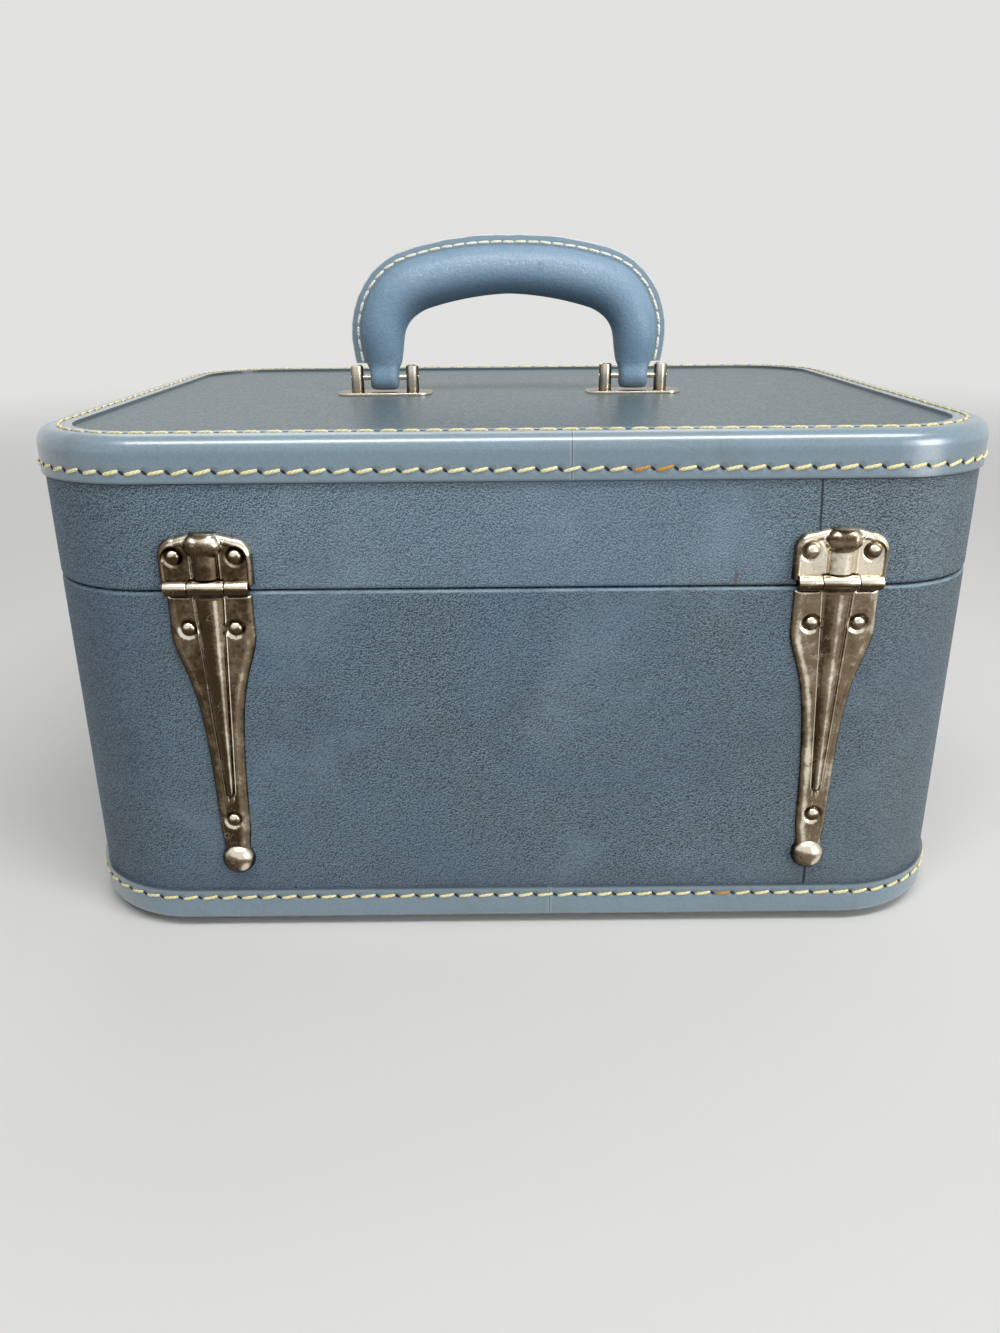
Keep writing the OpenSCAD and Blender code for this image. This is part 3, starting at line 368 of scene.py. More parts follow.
def leather_grain():
    """Crinkled grain: bumps with creases between them, and a painted relief shade that is lighter on flanks
    that look up and darker on flanks that look down.
    """
    def build(w, given):
        size = given["Size"]
        reach = w.node("CombineXYZ", {0: size, 1: size, 2: size}).outputs[0]

        def height(place):
            """Height of the grain at a place: winding ridges over round bumps."""
            warp = w.node("TexNoise", {"Vector": place, "Scale": w.div(0.5, size), "Detail": 0.0})
            away = w.vector("SUBTRACT", warp.outputs["Color"], (0.5, 0.5, 0.5))
            at = w.vector("MULTIPLY_ADD", away, w.vector("MULTIPLY", reach, (2.2, 2.2, 2.2)), place)
            worms = w.node("TexNoise", {"Vector": at, "Scale": w.div(0.72, size), "Detail": 1.0,
                                        "Roughness": 0.5}).outputs[0]
            cells = w.node("TexVoronoi", {"Vector": at, "Scale": w.div(1.0, size)}).outputs["Distance"]
            return w.mul_add(w.ramp(worms, 0.34, 0.64), 0.65, w.ramp(cells, 0.75, 0.1, 0.0, 0.35))

        here = height(w.coords())
        # Painted relief shade: the height here against the height a little above
        above = height(w.vector("MULTIPLY_ADD", reach, (0.25, 0.1, 0.6), w.coords()))
        return here, w.add(w.sub(here, above), 0.5)
    return effect("Leather grain", {"Size": 0.001}, ["Height", "Facing"], build)


def blotches():
    """Broad soft patches of stain and fading."""
    def build(w, given):
        shift = w.node("CombineXYZ", {0: given["Shift"], 1: 0.37, 2: 0.11}).outputs[0]
        at = w.vector("ADD", w.coords(), shift)
        patch = w.node("TexNoise", {"Vector": at, "Scale": w.div(1.0, given["Size"]), "Detail": 5.0,
                                    "Roughness": 0.62, "Distortion": 0.4}).outputs[0]
        level, softness = given["Level"], given["Softness"]
        return (w.ramp(patch, w.sub(level, softness), w.add(level, softness)),)
    return effect("Blotches", {"Size": 0.06, "Level": 0.55, "Softness": 0.12, "Shift": 0.0}, ["Mask"], build)


def scratches():
    """Fine lines where the surface was scuffed, in broken patches."""
    def build(w, given):
        at = w.vector("MULTIPLY", w.coords(), w.node("CombineXYZ", {
            0: given["Across"], 1: given["Across"], 2: given["Upright"]}).outputs[0])
        line = w.node("TexNoise", {"Vector": at, "Scale": w.div(1.0, given["Size"]), "Detail": 2.0,
                                   "Roughness": 0.45, "Distortion": 0.7}).outputs[0]
        away = w.abs(w.sub(line, 0.5))
        thin = w.ramp(away, given["Width"], 0.0)
        where = w.node("TexNoise", {"Vector": w.coords(), "Scale": w.div(0.35, given["Size"]),
                                    "Detail": 2.0}).outputs[0]
        return (w.mul(thin, w.ramp(where, 0.52, 0.66)),)
    return effect("Scratches", {"Size": 0.02, "Width": 0.012, "Across": 1.0, "Upright": 1.0}, ["Mask"], build)


def case_edge():
    """Distance along the case's edge from the middle of the back, and distance in from its outside."""
    def build(w, given):
        x, y, _ = w.xyz()
        run_x = w.sub(given["Half width"], given["Corner"])
        run_y = w.sub(given["Half depth"], given["Corner"])
        far_x, far_y = w.abs(x), w.abs(y)
        over_x = w.max(w.sub(far_x, run_x), 0.0)
        over_y = w.max(w.sub(far_y, run_y), 0.0)
        angle = w.arctan2(over_x, over_y)
        radius = w.sub(given["Corner"], given["Row inset"])
        way = w.add(w.min(far_x, run_x), w.mul(angle, radius))
        way = w.add(way, w.max(w.sub(run_y, far_y), 0.0))
        turn = w.mul(w.sign(w.mul(x, y)), -1.0)
        out = w.hypot(over_x, over_y)
        return w.mul(way, turn), w.sub(given["Corner"], out)
    return effect("Case edge", {"Half width": 0.165, "Half depth": 0.129, "Corner": 0.0425, "Row inset": 0.0},
                  ["Along", "Inset"], build)


def stitch_pull():
    """How a row of stitches draws the leather in: deep at each hole, shallow between them."""
    def build(w, given):
        turn = w.add(w.div(given["Along"], given["Pitch"]), 0.5)
        along = w.mul(w.sub(w.fract(turn), 0.5), given["Pitch"])
        across = given["Across"]
        away = w.hypot(along, across)
        holes = w.ramp(away, 0.0021, 0.0004)
        groove = w.ramp(w.abs(across), 0.0019, 0.0003)
        return holes, groove
    return effect("Stitch pull", {"Along": 0.0, "Across": 0.0, "Pitch": 0.0073}, ["Holes", "Groove"], build)


def butt_joint():
    """A thin upright line on the back, where two edges of leather meet."""
    def build(w, given):
        x, y, z = w.xyz()
        wander = w.node("TexNoise", {"Vector": w.coords(), "Scale": 90.0, "Detail": 3.0}).outputs[0]
        x = w.mul_add(w.sub(SEAM_Z, z), given["Lean"], x)
        off = w.abs(w.add(w.sub(x, given["Place"]), w.mul(w.sub(wander, 0.5), 0.0006)))
        line = w.ramp(off, given["Width"], w.mul(given["Width"], 0.35))
        lift = w.ramp(off, w.mul(given["Width"], 5.0), given["Width"])
        back = w.above(y, BACK_Y)
        return w.mul(line, back), w.mul(lift, back)
    return effect("Butt joint", {"Place": 0.0, "Lean": 0.0, "Width": 0.0003}, ["Line", "Lift"], build)


def small_mark():
    """A small ragged mark on the back of the case."""
    def build(w, given):
        x, y, z = w.xyz()
        across = w.div(w.sub(x, given["Place"]), given["Wide"])
        up = w.div(w.sub(z, given["Height"]), given["Tall"])
        away = w.hypot(across, up)
        away = w.mul_add(w.sub(w.noise(0.0015, 3.0), 0.5), 1.6, away)
        return (w.mul(w.ramp(away, 1.0, 0.5), w.above(y, BACK_Y)),)
    return effect("Small mark", {"Place": 0.0, "Height": 0.0, "Wide": 0.001, "Tall": 0.001}, ["Mask"], build)


def satin_weave():
    """Fine threads of the lining cloth, two ways across each other."""
    def build(w, given):
        x, y, z = w.xyz()
        turn = w.div(math.tau, given["Size"])
        flat = w.add(x, y)
        warp = w.sin(w.mul(flat, turn))
        weft = w.sin(w.mul(w.add(w.sub(x, y), w.mul(z, 2.0)), turn))
        cloth = w.mul_add(warp, 0.25, w.mul_add(weft, 0.25, 0.5))
        drawn = w.vector("MULTIPLY", w.coords(), (1.0, 14.0, 14.0))
        slub = w.node("TexNoise", {"Vector": drawn, "Scale": 60.0, "Detail": 3.0}).outputs[0]
        return cloth, slub
    return effect("Satin weave", {"Size": 0.0006}, ["Threads", "Slub"], build)


def material(name):
    """The wiring of a new material."""
    new = bpy.data.materials.new(name)
    new.use_nodes = True
    wires = Wiring(new.node_tree)
    wires.material = new
    return wires


def finish(w, tint, roughness, height=None, depth=0.0002, strength=1.0, **sockets):
    """Joins a colour, a roughness and a height to the material's Principled BSDF, sets its other sockets."""
    shader = w.tree.nodes["Principled BSDF"]
    w.tree.links.new(tint, shader.inputs["Base Color"])
    sockets["roughness"] = roughness
    for name, value in sockets.items():
        socket = shader.inputs[name.replace("_", " ").title().replace("Ior", "IOR")]
        if isinstance(value, bpy.types.NodeSocket):
            w.tree.links.new(value, socket)
        else:
            socket.default_value = value
    if height is not None:
        bump = w.node("Bump", {"Height": height, "Distance": depth, "Strength": strength})
        w.tree.links.new(bump.outputs[0], shader.inputs["Normal"])
    return w.material


def edge_values(context):
    """Sizes of the case's plan for the edge group."""
    return {"half_width": HALF_W, "half_depth": HALF_D, "corner": context.scene.case_leather.corner}


def leatherette(context, name, seam, lean, painted_shade):
    """Grained cover with stains, scuffs and its seam on the back; the last argument is how much darker the
    whole cover is painted, as shade.
    """
    look = context.scene.case_leather
    w = material(name)
    x, _, z = w.xyz()
    leather = w.use(leather_grain(), size=look.grain_size)
    grain = leather["Height"]
    # Painted relief light and shade: the grain's colour follows its height and, more, how far each flank
    # looks up
    lit = w.mul_add(grain, 0.4, w.mul(leather["Facing"], 0.6))
    tint = w.mix(w.ramp(lit, 0.39, 0.65, smooth=False), look.grain_low, look.grain_high)
    for size, level, softness, shift, cast in (
            (0.11, 0.52, 0.16, 2.0, (82, 98, 104)), (0.08, 0.55, 0.14, 21.0, (84, 114, 148)),
            (0.03, 0.6, 0.12, 7.0, (56, 68, 76)), (0.05, 0.6, 0.12, 5.0, (140, 160, 176))):
        tint = w.stain(tint, w.patches(size, level, softness, shift), 0.22, srgb(*cast))
    tint = w.stain(tint, w.scratched(0.09, 0.0035), 0.12, srgb(158, 172, 184))
    # Painted shade on the cover just above the bottom binding, darkest at its edge
    foot = w.ramp(z, BODY_HIGH.z + 0.012, BODY_HIGH.z, 0.0, 0.25)
    tint = w.mix(foot, tint, (0.07, 0.09, 0.12))
    # Painted shade over the whole cover, by the share given; the body's cover takes it, the lid's does not
    tint = w.mix(painted_shade, tint, srgb(38, 52, 60))
    # Painted shade towards the ends of the back: greyer and darker towards -X, darker and bluer towards +X
    tint = w.mix(w.ramp(x, -0.07, -0.17, 0.0, 0.3), tint, srgb(74, 80, 82))
    tint = w.mix(w.ramp(x, 0.1, 0.17, 0.0, 0.34), tint, srgb(44, 68, 94))
    tint = w.stain(tint, w.use(small_mark(), **RUST_MARK)["Mask"], 0.8, srgb(84, 58, 54))
    tint = w.stain(tint, w.use(small_mark(), **SCRAPE)["Mask"], 0.4, srgb(52, 64, 76))
    joint = w.use(butt_joint(), place=seam, lean=lean, width=0.00052)
    tint = w.mix(joint["Line"], tint, srgb(20, 26, 32))
    # Painted shadow: a dark line on the lid's cover just under the lid binding's lower edge
    under = w.ramp(w.sub(LID_LOW.z, z), 0.0011, 0.0002)
    tint = w.mix(w.mul(under, w.above(z, SEAM_Z)), tint, srgb(30, 38, 46))
    # Painted highlight: a light line along the body's rounded rim just under the seam, broken up in patches
    # by noise and weaker towards +X
    rim = w.ramp(w.abs(w.sub(z, SEAM_Z - 0.0009)), 0.0006, 0.0001)
    # The lid's cover is made lighter towards the middle of the back
    lighter_middle = w.mul(w.ramp(w.abs(x), 0.13, 0.03, 0.0, 0.16), w.above(z, SEAM_Z))
    tint = w.mix(lighter_middle, tint, srgb(134, 160, 182))
    rubbed = w.mul(w.ramp(w.noise(0.02, 3.0), 0.35, 0.6, 0.2, 0.75), w.ramp(x, 0.15, 0.06, 0.3, 1.0))
    tint = w.mix(w.mul(rim, rubbed), tint, srgb(140, 162, 178))
    height = w.sub(grain, w.mul(joint["Line"], 2.5))
    height = w.mul_add(joint["Lift"], 0.35, height)
    rough = w.ramp(grain, 0.0, 1.0, 0.7, 0.45, smooth=False)
    return finish(w, tint, rough, height, 0.00015, 0.9)


def binding_leather(context, name, butt, top):
    """Smooth edge leather, drawn in by its stitches, with nicks, dirt and the joint of its ends, painted
    shade towards the lid binding's lower edge, over the bottom binding, in a band on the lid's wall and round
    the stitch holes, and a painted highlight beside the joint.
    """
    look, thread = context.scene.case_leather, context.scene.case_thread
    w = material(name)
    z = w.xyz()[2]
    side = w.use(case_edge(), row_inset=0.0, **edge_values(context))
    flat = w.use(case_edge(), row_inset=thread.top_inset, **edge_values(context))
    row_z = LID_LOW.z + thread.lid_row if top else BODY_HIGH.z - thread.body_row
    round_side = edge_length(context, 0.0) / thread.side_count
    round_flat = edge_length(context, thread.top_inset) / thread.top_count
    pull = w.use(stitch_pull(), along=side["Along"], across=w.sub(z, row_z), pitch=round_side)
    pull_flat = w.use(stitch_pull(), along=flat["Along"],
                      across=w.sub(flat["Inset"], thread.top_inset), pitch=round_flat)
    upright = w.below(side["Inset"], WALL_INSET)
    lying = w.above(side["Inset"], FLAT_INSET)
    holes = w.add(w.mul(pull["Holes"], upright), w.mul(pull_flat["Holes"], lying))
    groove = w.add(w.mul(pull["Groove"], upright), w.mul(pull_flat["Groove"], lying))
    grain = w.grain(0.0007)
    tint = w.stain(look.binding, w.patches(0.05, 0.5, 0.15, 9.0), 0.35, srgb(98, 118, 128))
    tint = w.stain(tint, grain, 0.12, srgb(168, 188, 198))
    dirt = w.patches(0.02, 0.64, 0.08, 3.0)
    tint = w.stain(tint, dirt, 0.3, srgb(70, 82, 88))
    # Painted shade: the lid binding darkens towards its lower edge, the bottom binding all over
    edge = w.sub(z, LID_LOW.z) if top else w.sub(BODY_HIGH.z, z)
    painted_shade = w.ramp(edge, 0.007, 0.001) if top else 0.8
    tint = w.stain(tint, painted_shade, 0.26, srgb(66, 82, 92))
    if top:
        # Painted shade in a band on the lid binding's wall, between its highlight and its stitches
        wall = w.ramp(w.abs(w.sub(edge, 0.0074)), 0.0036, 0.001)
        tint = w.stain(tint, wall, 0.3, srgb(62, 82, 94))
    # Painted shade right along the binding's outer edge
    free = w.ramp(edge, 0.0009, 0.0001)
    tint = w.stain(tint, free, 0.7, srgb(48, 62, 72))
    inner = w.ramp(side["Inset"], INNER_INSET, INNER_INSET + 0.0007)
    tint = w.stain(tint, inner, 0.75, srgb(44, 54, 60))
    tint = w.stain(tint, w.scratched(0.008, 0.012, 0.45, 2.6), 0.3, srgb(62, 76, 86))
    tint = w.stain(tint, w.patches(0.0035, 0.73, 0.02, 15.0), 0.6, srgb(58, 70, 78))
    # Painted shade in the dents round the stitch holes
    tint = w.stain(tint, holes, 0.35, srgb(60, 74, 84))
    joint = w.use(butt_joint(), place=butt, width=0.00024)
    # Painted highlight on the lifted edges beside the joint; the dark line of the joint itself is its own
    # colour
    tint = w.stain(tint, joint["Lift"], 0.25, srgb(160, 180, 186))
    tint = w.stain(tint, joint["Line"], 0.85, srgb(48, 60, 66))
    height = w.mul_add(holes, -1.0, w.mul(groove, -0.55))
    height = w.mul_add(grain, 0.05, height)
    height = w.mul_add(joint["Line"], -0.6, height)
    height = w.mul_add(w.patches(0.03, 0.5, 0.3, 12.0), 0.12, height)
    rough = w.ramp(grain, 0.0, 1.0, 0.38, 0.3, smooth=False)
    rough = w.mul_add(dirt, 0.15, rough)
    return finish(w, tint, rough, height, 0.0005, 0.8, coat_weight=1.0, coat_ior=2.05, coat_roughness=0.26,
                  specular_ior_level=0.3)


def panel_leather(context):
    """Smooth top panel: fine grain, slight dishing, rubbed marks and fine scratches."""
    w = material("Top panel leather")
    fine = w.grain(0.00065)
    tint = w.stain(context.scene.case_leather.panel, w.patches(0.08, 0.5, 0.18, 1.0), 0.3, srgb(72, 86, 94))
    tint = w.stain(tint, fine, 0.3, srgb(128, 144, 152))
    tint = w.stain(tint, w.scratched(0.05, 0.005), 0.18, srgb(176, 186, 190))
    tint = w.stain(tint, w.patches(0.014, 0.68, 0.04, 7.0), 0.2, srgb(74, 84, 88))
    height = w.mul_add(fine, 0.12, w.patches(0.06, 0.5, 0.3, 4.0))
    rough = w.ramp(fine, 0.0, 1.0, 0.42, 0.28, smooth=False)
    return finish(w, tint, rough, height, 0.0003, 0.6, specular_ior_level=0.16)


def grip_leather(context):
    """Handle leather, with a painted highlight band over the crown that is lighter higher up, and painted
    shade below.
    """
    look, grip = context.scene.case_leather, context.scene.case_grip
    w = material("Handle leather")
    x, _, z = w.xyz()
    fine = w.grain(0.0008)
    cloud = w.patches(0.02, 0.5, 0.2, 6.0)
    below = w.sub(z, grip.crown_z - grip.crown)
    radius = w.hypot(x, below)
    # Painted shade on the grip's underside
    under = w.ramp(radius, grip.crown + 0.002, grip.crown - grip.across / 2)
    under = w.mul(under, w.ramp(w.abs(x), grip.leg_x, grip.leg_x - grip.bend))
    # Painted highlight: a band along the grip's upper side, lighter higher up, broken up by patches
    band = w.ramp(w.abs(w.sub(radius, grip.crown + 0.0034)), 0.005, 0.0)
    band = w.mul(band, w.ramp(w.abs(x), grip.leg_x, grip.leg_x - grip.bend))
    rubbed = w.mul_add(w.ramp(z, 0.205, grip.crown_z + 0.006), 0.1, w.mul(band, 0.6))
    rubbed = w.mul(rubbed, w.mul_add(cloud, 0.5, 0.5))
    tint = w.mix(rubbed, look.grip, look.grip_sheen)
    tint = w.stain(tint, fine, 0.16, srgb(176, 192, 206))
    tint = w.stain(tint, w.scratched(0.012, 0.012), 0.3, srgb(184, 198, 210))
    tint = w.stain(tint, w.patches(0.008, 0.66, 0.06, 8.0), 0.25, srgb(72, 92, 112))
    tint = w.stain(tint, under, 0.66, srgb(56, 76, 92))
    # Painted highlight: sparkle within that band
    spark = w.mul(w.ramp(w.noise(0.0007, 1.0), 0.58, 0.72), w.mul(band, 0.5))
    tint = w.mix(spark, tint, srgb(206, 218, 226))
    inward = w.sub(grip.leg_x, w.abs(x))
    fold = w.sub(z, w.mul_add(inward, 0.7, PIN_Z + 0.0042))
    crease = w.mul(w.ramp(w.abs(fold), 0.0003, 0.00005), w.ramp(z, PIN_Z + 0.016, PIN_Z + 0.011))
    tint = w.stain(tint, crease, 0.3, srgb(180, 196, 208))
    rough = w.ramp(fine, 0.0, 1.0, 0.5, 0.3, smooth=False)
    return finish(w, tint, rough, w.mul_add(cloud, 0.6, fine), 0.0001, 0.8)


def flange_leather(context):
    """The flange's two thicknesses of leather, pale at their cut edge, with the line between them."""
    look, grip = context.scene.case_leather, context.scene.case_grip
    w = material("Handle flange")
    fine = w.noise(0.0012, 3.0)
    off = w.abs(w.xyz()[1])
    off_edge = w.mul_add(fine, 0.0002, off)
    edge = w.ramp(off_edge, grip.flange_thick * 0.46, grip.flange_thick * 0.4)
    tint = w.mix(edge, srgb(122, 142, 154), look.cut_edge)
    ply = w.ramp(off, 0.00028, 0.0001)
    tint = w.stain(tint, ply, 0.5, srgb(78, 92, 104))
    tint = w.stain(tint, fine, 0.2, srgb(120, 142, 160))
    height = w.mul_add(ply, -1.0, fine)
    return finish(w, tint, 0.6, height, 0.00025, 0.8)


def thread_material(name, tint, painted_shade=0.75):
    """Twisted thread: plies that wind round the stitch, with painted shade in the furrows and at its ends,
    where it dives into its holes.
    """
    w = material(name)
    u, v, _ = w.node("SeparateXYZ", {0: w.node("TexCoord").outputs["UV"]}).outputs
    ply = w.sin(w.mul(w.mul_add(u, 2.0, w.mul(v, 5.0)), math.tau))
    ply = w.mul_add(ply, 0.5, 0.5)
    ends = w.ramp(w.abs(w.sub(v, 0.5)), 0.3, 0.5)
    fuzz = w.noise(0.0006, 2.0)
    # Painted shade in the furrows between the plies
    shade = w.mix(w.ramp(ply, 0.45, 0.0, 0.0, 0.45), tint, times(tint, 0.45))
    # Painted shade at the stitch's ends, by the share given
    shade = w.stain(shade, ends, painted_shade, times(tint, 0.34, 0.24, 0.13))
    shade = w.stain(shade, w.patches(0.02, 0.55, 0.12, 11.0), 0.3, times(tint, 0.78, 0.68, 0.42))
    return finish(w, shade, 0.62, w.mul_add(fuzz, 0.4, ply), 0.00016, 0.8)


def hole_shadow():
    """Painted shadow at the bottom of a stitch hole, for the dark lens set where the hole is."""
    w = material("Stitch hole shadow")
    tint = w.mix(w.noise(0.001, 2.0), srgb(16, 20, 26), srgb(34, 38, 42))
    return finish(w, tint, 0.9)


def worn_metal(name, dull, bright, low, high, roughness=0.3, gone=0.5, grime=0.45):
    """Plated metal: bright where it stands out from the case and is rubbed, brown where it isn't."""
    w = material(name)
    out = w.ramp(w.abs(w.xyz()[1]), low, high)
    patch = w.patches(0.012, 0.5, 0.2, 3.0)
    speck = w.patches(0.0022, 0.6, 0.08, 5.0)
    rubbed = w.mul(out, w.mul_add(patch, gone, 1.0 - gone))
    tint = w.mix(rubbed, dull, bright)
    tint = w.stain(tint, speck, grime, times(dull, 0.45))
    tint = w.stain(tint, w.scratched(0.006, 0.02), 0.3, bright)
    rough = w.mul_add(patch, 0.12, roughness)
    rough = w.mul_add(speck, 0.2, rough)
    height = w.mul_add(w.noise(0.006, 2.0), 1.0, w.mul(speck, -grime))
    return finish(w, tint, rough, height, 0.00005, 0.5, metallic=1.0)


def board_wood():
    """Bent plywood under the cover."""
    w = material("Bent board")
    ring = w.noise(0.006, 4.0, 0.6, (1.0, 1.0, 9.0))
    tint = w.mix(ring, srgb(176, 142, 98), srgb(212, 182, 138))
    return finish(w, tint, 0.7, ring, 0.0002, 0.4)


def satin(name, tint):
    """Lining cloth with a soft sheen and its weave."""
    w = material(name)
    weave = w.use(satin_weave(), size=0.0007)
    shade = w.stain(tint, weave["Threads"], 0.2, times(tint, 0.72))
    shade = w.mix(w.ramp(weave["Slub"], 0.4, 0.75, 0.0, 0.25), shade, tuple(min(c * 1.25, 1.0) for c in tint))
    shade = w.stain(shade, w.patches(0.07, 0.55, 0.16, 4.0), 0.3, times(tint, 0.86, 0.8, 0.68))
    return finish(w, shade, 0.48, w.add(weave["Threads"], weave["Slub"]), 0.00012, 0.6, sheen_weight=0.4)


def mirror_material(context):
    """Silvered glass with a few cloudy spots."""
    w = material("Mirror")
    cloud = w.patches(0.05, 0.62, 0.08, 2.0)
    tint = w.stain(context.scene.case_lining.mirror, cloud, 0.15, srgb(190, 196, 196))
    return finish(w, tint, w.mul_add(cloud, 0.05, 0.02), metallic=1.0)


def edge_length(context, inset):
    """Length of the line that runs round the case, a distance in from the bindings' outside."""
    corner = context.scene.case_leather.corner
    return 4 * (HALF_W + HALF_D - 2 * corner) + math.tau * (corner - inset)


def edge_point(context, along, inset):
    """Point on that line and its outward direction, at a distance from the middle of the back."""
    corner = context.scene.case_leather.corner
    runs = (2 * (HALF_W - corner), 2 * (HALF_D - corner))
    bend = math.pi / 2 * (corner - inset)
    rest = (along + runs[0] / 2) % edge_length(context, inset)
    for side in range(4):
        turn = Matrix.Rotation(math.radians(90 * side), 3, "Z")
        out, ahead = turn @ Vector((0, 1, 0)), turn @ Vector((-1, 0, 0))
        run, reach = runs[side % 2], (HALF_D, HALF_W)[side % 2]
        if rest < run:
            return out * (reach - inset) + ahead * (rest - run / 2), out
        rest -= run
        if rest < bend:
            angle = rest / (corner - inset)
            out = out * math.cos(angle) + ahead * math.sin(angle)
            centre = (turn @ Vector((0, 1, 0))) * (reach - corner) + ahead * (run / 2)
            return centre + out * (corner - inset), out
        rest -= bend
    raise RuntimeError("the place lies past the end of the edge")


def deselect():
    """Leaves edit mode and drops the selection."""
    if bpy.context.object and bpy.context.object.mode != "OBJECT":
        bpy.ops.object.mode_set(mode="OBJECT")
    bpy.ops.object.select_all(action="DESELECT")


def only(piece):
    """Makes a piece the one that operators act on."""
    deselect()
    piece.select_set(True)
    bpy.context.view_layer.objects.active = piece


def settle(piece, name, body, slot, *materials):
    """Names a finished piece, puts its place into its mesh and lets it ride on a body."""
    only(piece)
    bpy.ops.object.transform_apply(location=True, rotation=True, scale=True)
    piece.name = piece.data.name = name
    if materials:
        piece.data.materials.clear()
        for look in materials:
            piece.data.materials.append(look)
    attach(piece, body)
    return piece


def join(pieces):
    """Joins copies into one piece."""
    deselect()
    for piece in pieces:
        piece.select_set(True)
    bpy.context.view_layer.objects.active = pieces[0]
    bpy.ops.object.join()
    return bpy.context.object


def give(nodes, look):
    """Gives nodes of the frame a material."""
    for name in nodes:
        for slot in NODES[name].material_slots:
            slot.material = look


def axes(along, out):
    """Turns a piece's x along a line and its z outwards."""
    along = (along - out * along.dot(out)).normalized()
    return Matrix((along, out.cross(along), out)).transposed().to_4x4()


def pick(piece, rule):
    """Selects the vertices of the piece in edit mode that a rule names."""
    bpy.ops.mesh.select_all(action="DESELECT")
    mesh = bmesh.from_edit_mesh(piece.data)
    for vertex in mesh.verts:
        vertex.select = rule(vertex.co)
    mesh.select_flush_mode()
    bmesh.update_edit_mesh(piece.data)


def face_outwards():
    """Turns the faces of the piece in edit mode outwards and leaves edit mode."""
    bpy.ops.mesh.select_all(action="SELECT")
    bpy.ops.mesh.normals_make_consistent(inside=False)
    bpy.ops.object.mode_set(mode="OBJECT")


def ball(segments, rings, radius, squash=(1.0, 1.0, 1.0), place=(0.0, 0.0, 0.0), turn=(0.0, 0.0, 0.0)):
    """A smooth ball, flattened and turned."""
    deselect()
    bpy.ops.mesh.primitive_uv_sphere_add(segments=segments, ring_count=rings, radius=radius, location=place,
                                         rotation=turn)
    piece = bpy.context.object
    piece.scale = squash
    bpy.ops.object.transform_apply(location=True, rotation=True, scale=True)
    bpy.ops.object.shade_smooth()
    return piece


def make_stitch(size, thick, high):
    """One stitch along x: a sphere drawn out to a plump bar whose ends dive into their holes."""
    piece = ball(8, 6, 0.5, turn=(0.0, math.pi / 2, 0.0))
    bpy.ops.object.mode_set(mode="EDIT")
    for low, far, grow in ((0.3, 0.45, 1.62), (0.2, 0.3, 1.12)):
        pick(piece, lambda place: low < abs(place.x) < far)
        bpy.ops.transform.resize(value=(1.0, grow, grow))
    bpy.ops.mesh.select_all(action="SELECT")
    bpy.ops.transform.resize(value=(size, thick, high))
    pick(piece, lambda place: abs(place.x) > size * 0.4)
    bpy.ops.transform.translate(value=(0.0, 0.0, -high * 0.35))
    bpy.ops.object.mode_set(mode="OBJECT")
    bpy.ops.object.shade_smooth()
    return piece


def copies(pattern, places, looks, stained=()):
    """A copy of a pattern at each place, joined; the stained ones take the second material."""
    made = []
    for number, place in enumerate(places):
        mesh = pattern.data.copy()
        mesh.transform(place)
        if number in stained:
            for face in mesh.polygons:
                face.material_index = 1
        for look in looks:
            mesh.materials.append(look)
        copy = bpy.data.objects.new(pattern.name, mesh)
        bpy.context.scene.collection.objects.link(copy)
        made.append(copy)
    return join(made)


def row_places(context, chance, count, inset, z, facing, slant, proud):
    """Places of a row of stitches and of the holes between them, turned and sized a little at random."""
    whole = edge_length(context, inset)
    pitch = whole / count
    stitches, holes = [], []
    for number in range(count):
        for share, into in ((0.5, stitches), (0.0, holes)):
            shift = chance.uniform(-0.00012, 0.00012) if share else 0.0
            along = (number + share) * pitch + shift
            point, out = edge_point(context, along, inset)
            ahead = Vector((0, 0, 1)).cross(out)
            face = out if facing == "side" else Vector((0, 0, facing))
            turn = slant + chance.uniform(-2.5, 2.5) if share else -38.0 if facing == "side" else 0.0
            spot = Matrix.Translation(Vector((point.x, point.y, z)) + face * (proud if share else 0.0))
            grow = Matrix.Diagonal((chance.uniform(0.94, 1.04), chance.uniform(0.92, 1.08), 1.0, 1.0))
            into.append(spot @ axes(ahead, face) @ Matrix.Rotation(math.radians(turn), 4, "Z") @ grow)
    return stitches, holes


def nearest(context, count, inset, x):
    """Number of the stitch on the back that is nearest to a place."""
    return int((-x % edge_length(context, inset)) / (edge_length(context, inset) / count))


class CASE_OT_covering(bpy.types.Operator):
    """Covers lid and body in grained leatherette and binds their edges"""
    bl_idname = "case.covering"
    bl_label = "Covering and bindings"

    def execute(self, context):
        look = context.scene.case_leather
        # The body's cover is painted darker than the lid's, as shade
        give(("body_cover", "bottom_cover"),
             leatherette(context, "Body leatherette", look.body_seam, 0.0, 0.16))
        give(("lid_cover",), leatherette(context, "Lid leatherette", look.lid_seam, 0.046, 0.0))
        give(("lid_panel",), panel_leather(context))
        give(("lid_binding",), binding_leather(context, "Lid binding leather", look.lid_butt, True))
        give(("bottom_binding",), binding_leather(context, "Body binding leather", look.body_butt, False))
        give(("body_frame", "bottom_board", "lid_frame", "lid_board"), board_wood())
        return {"FINISHED"}


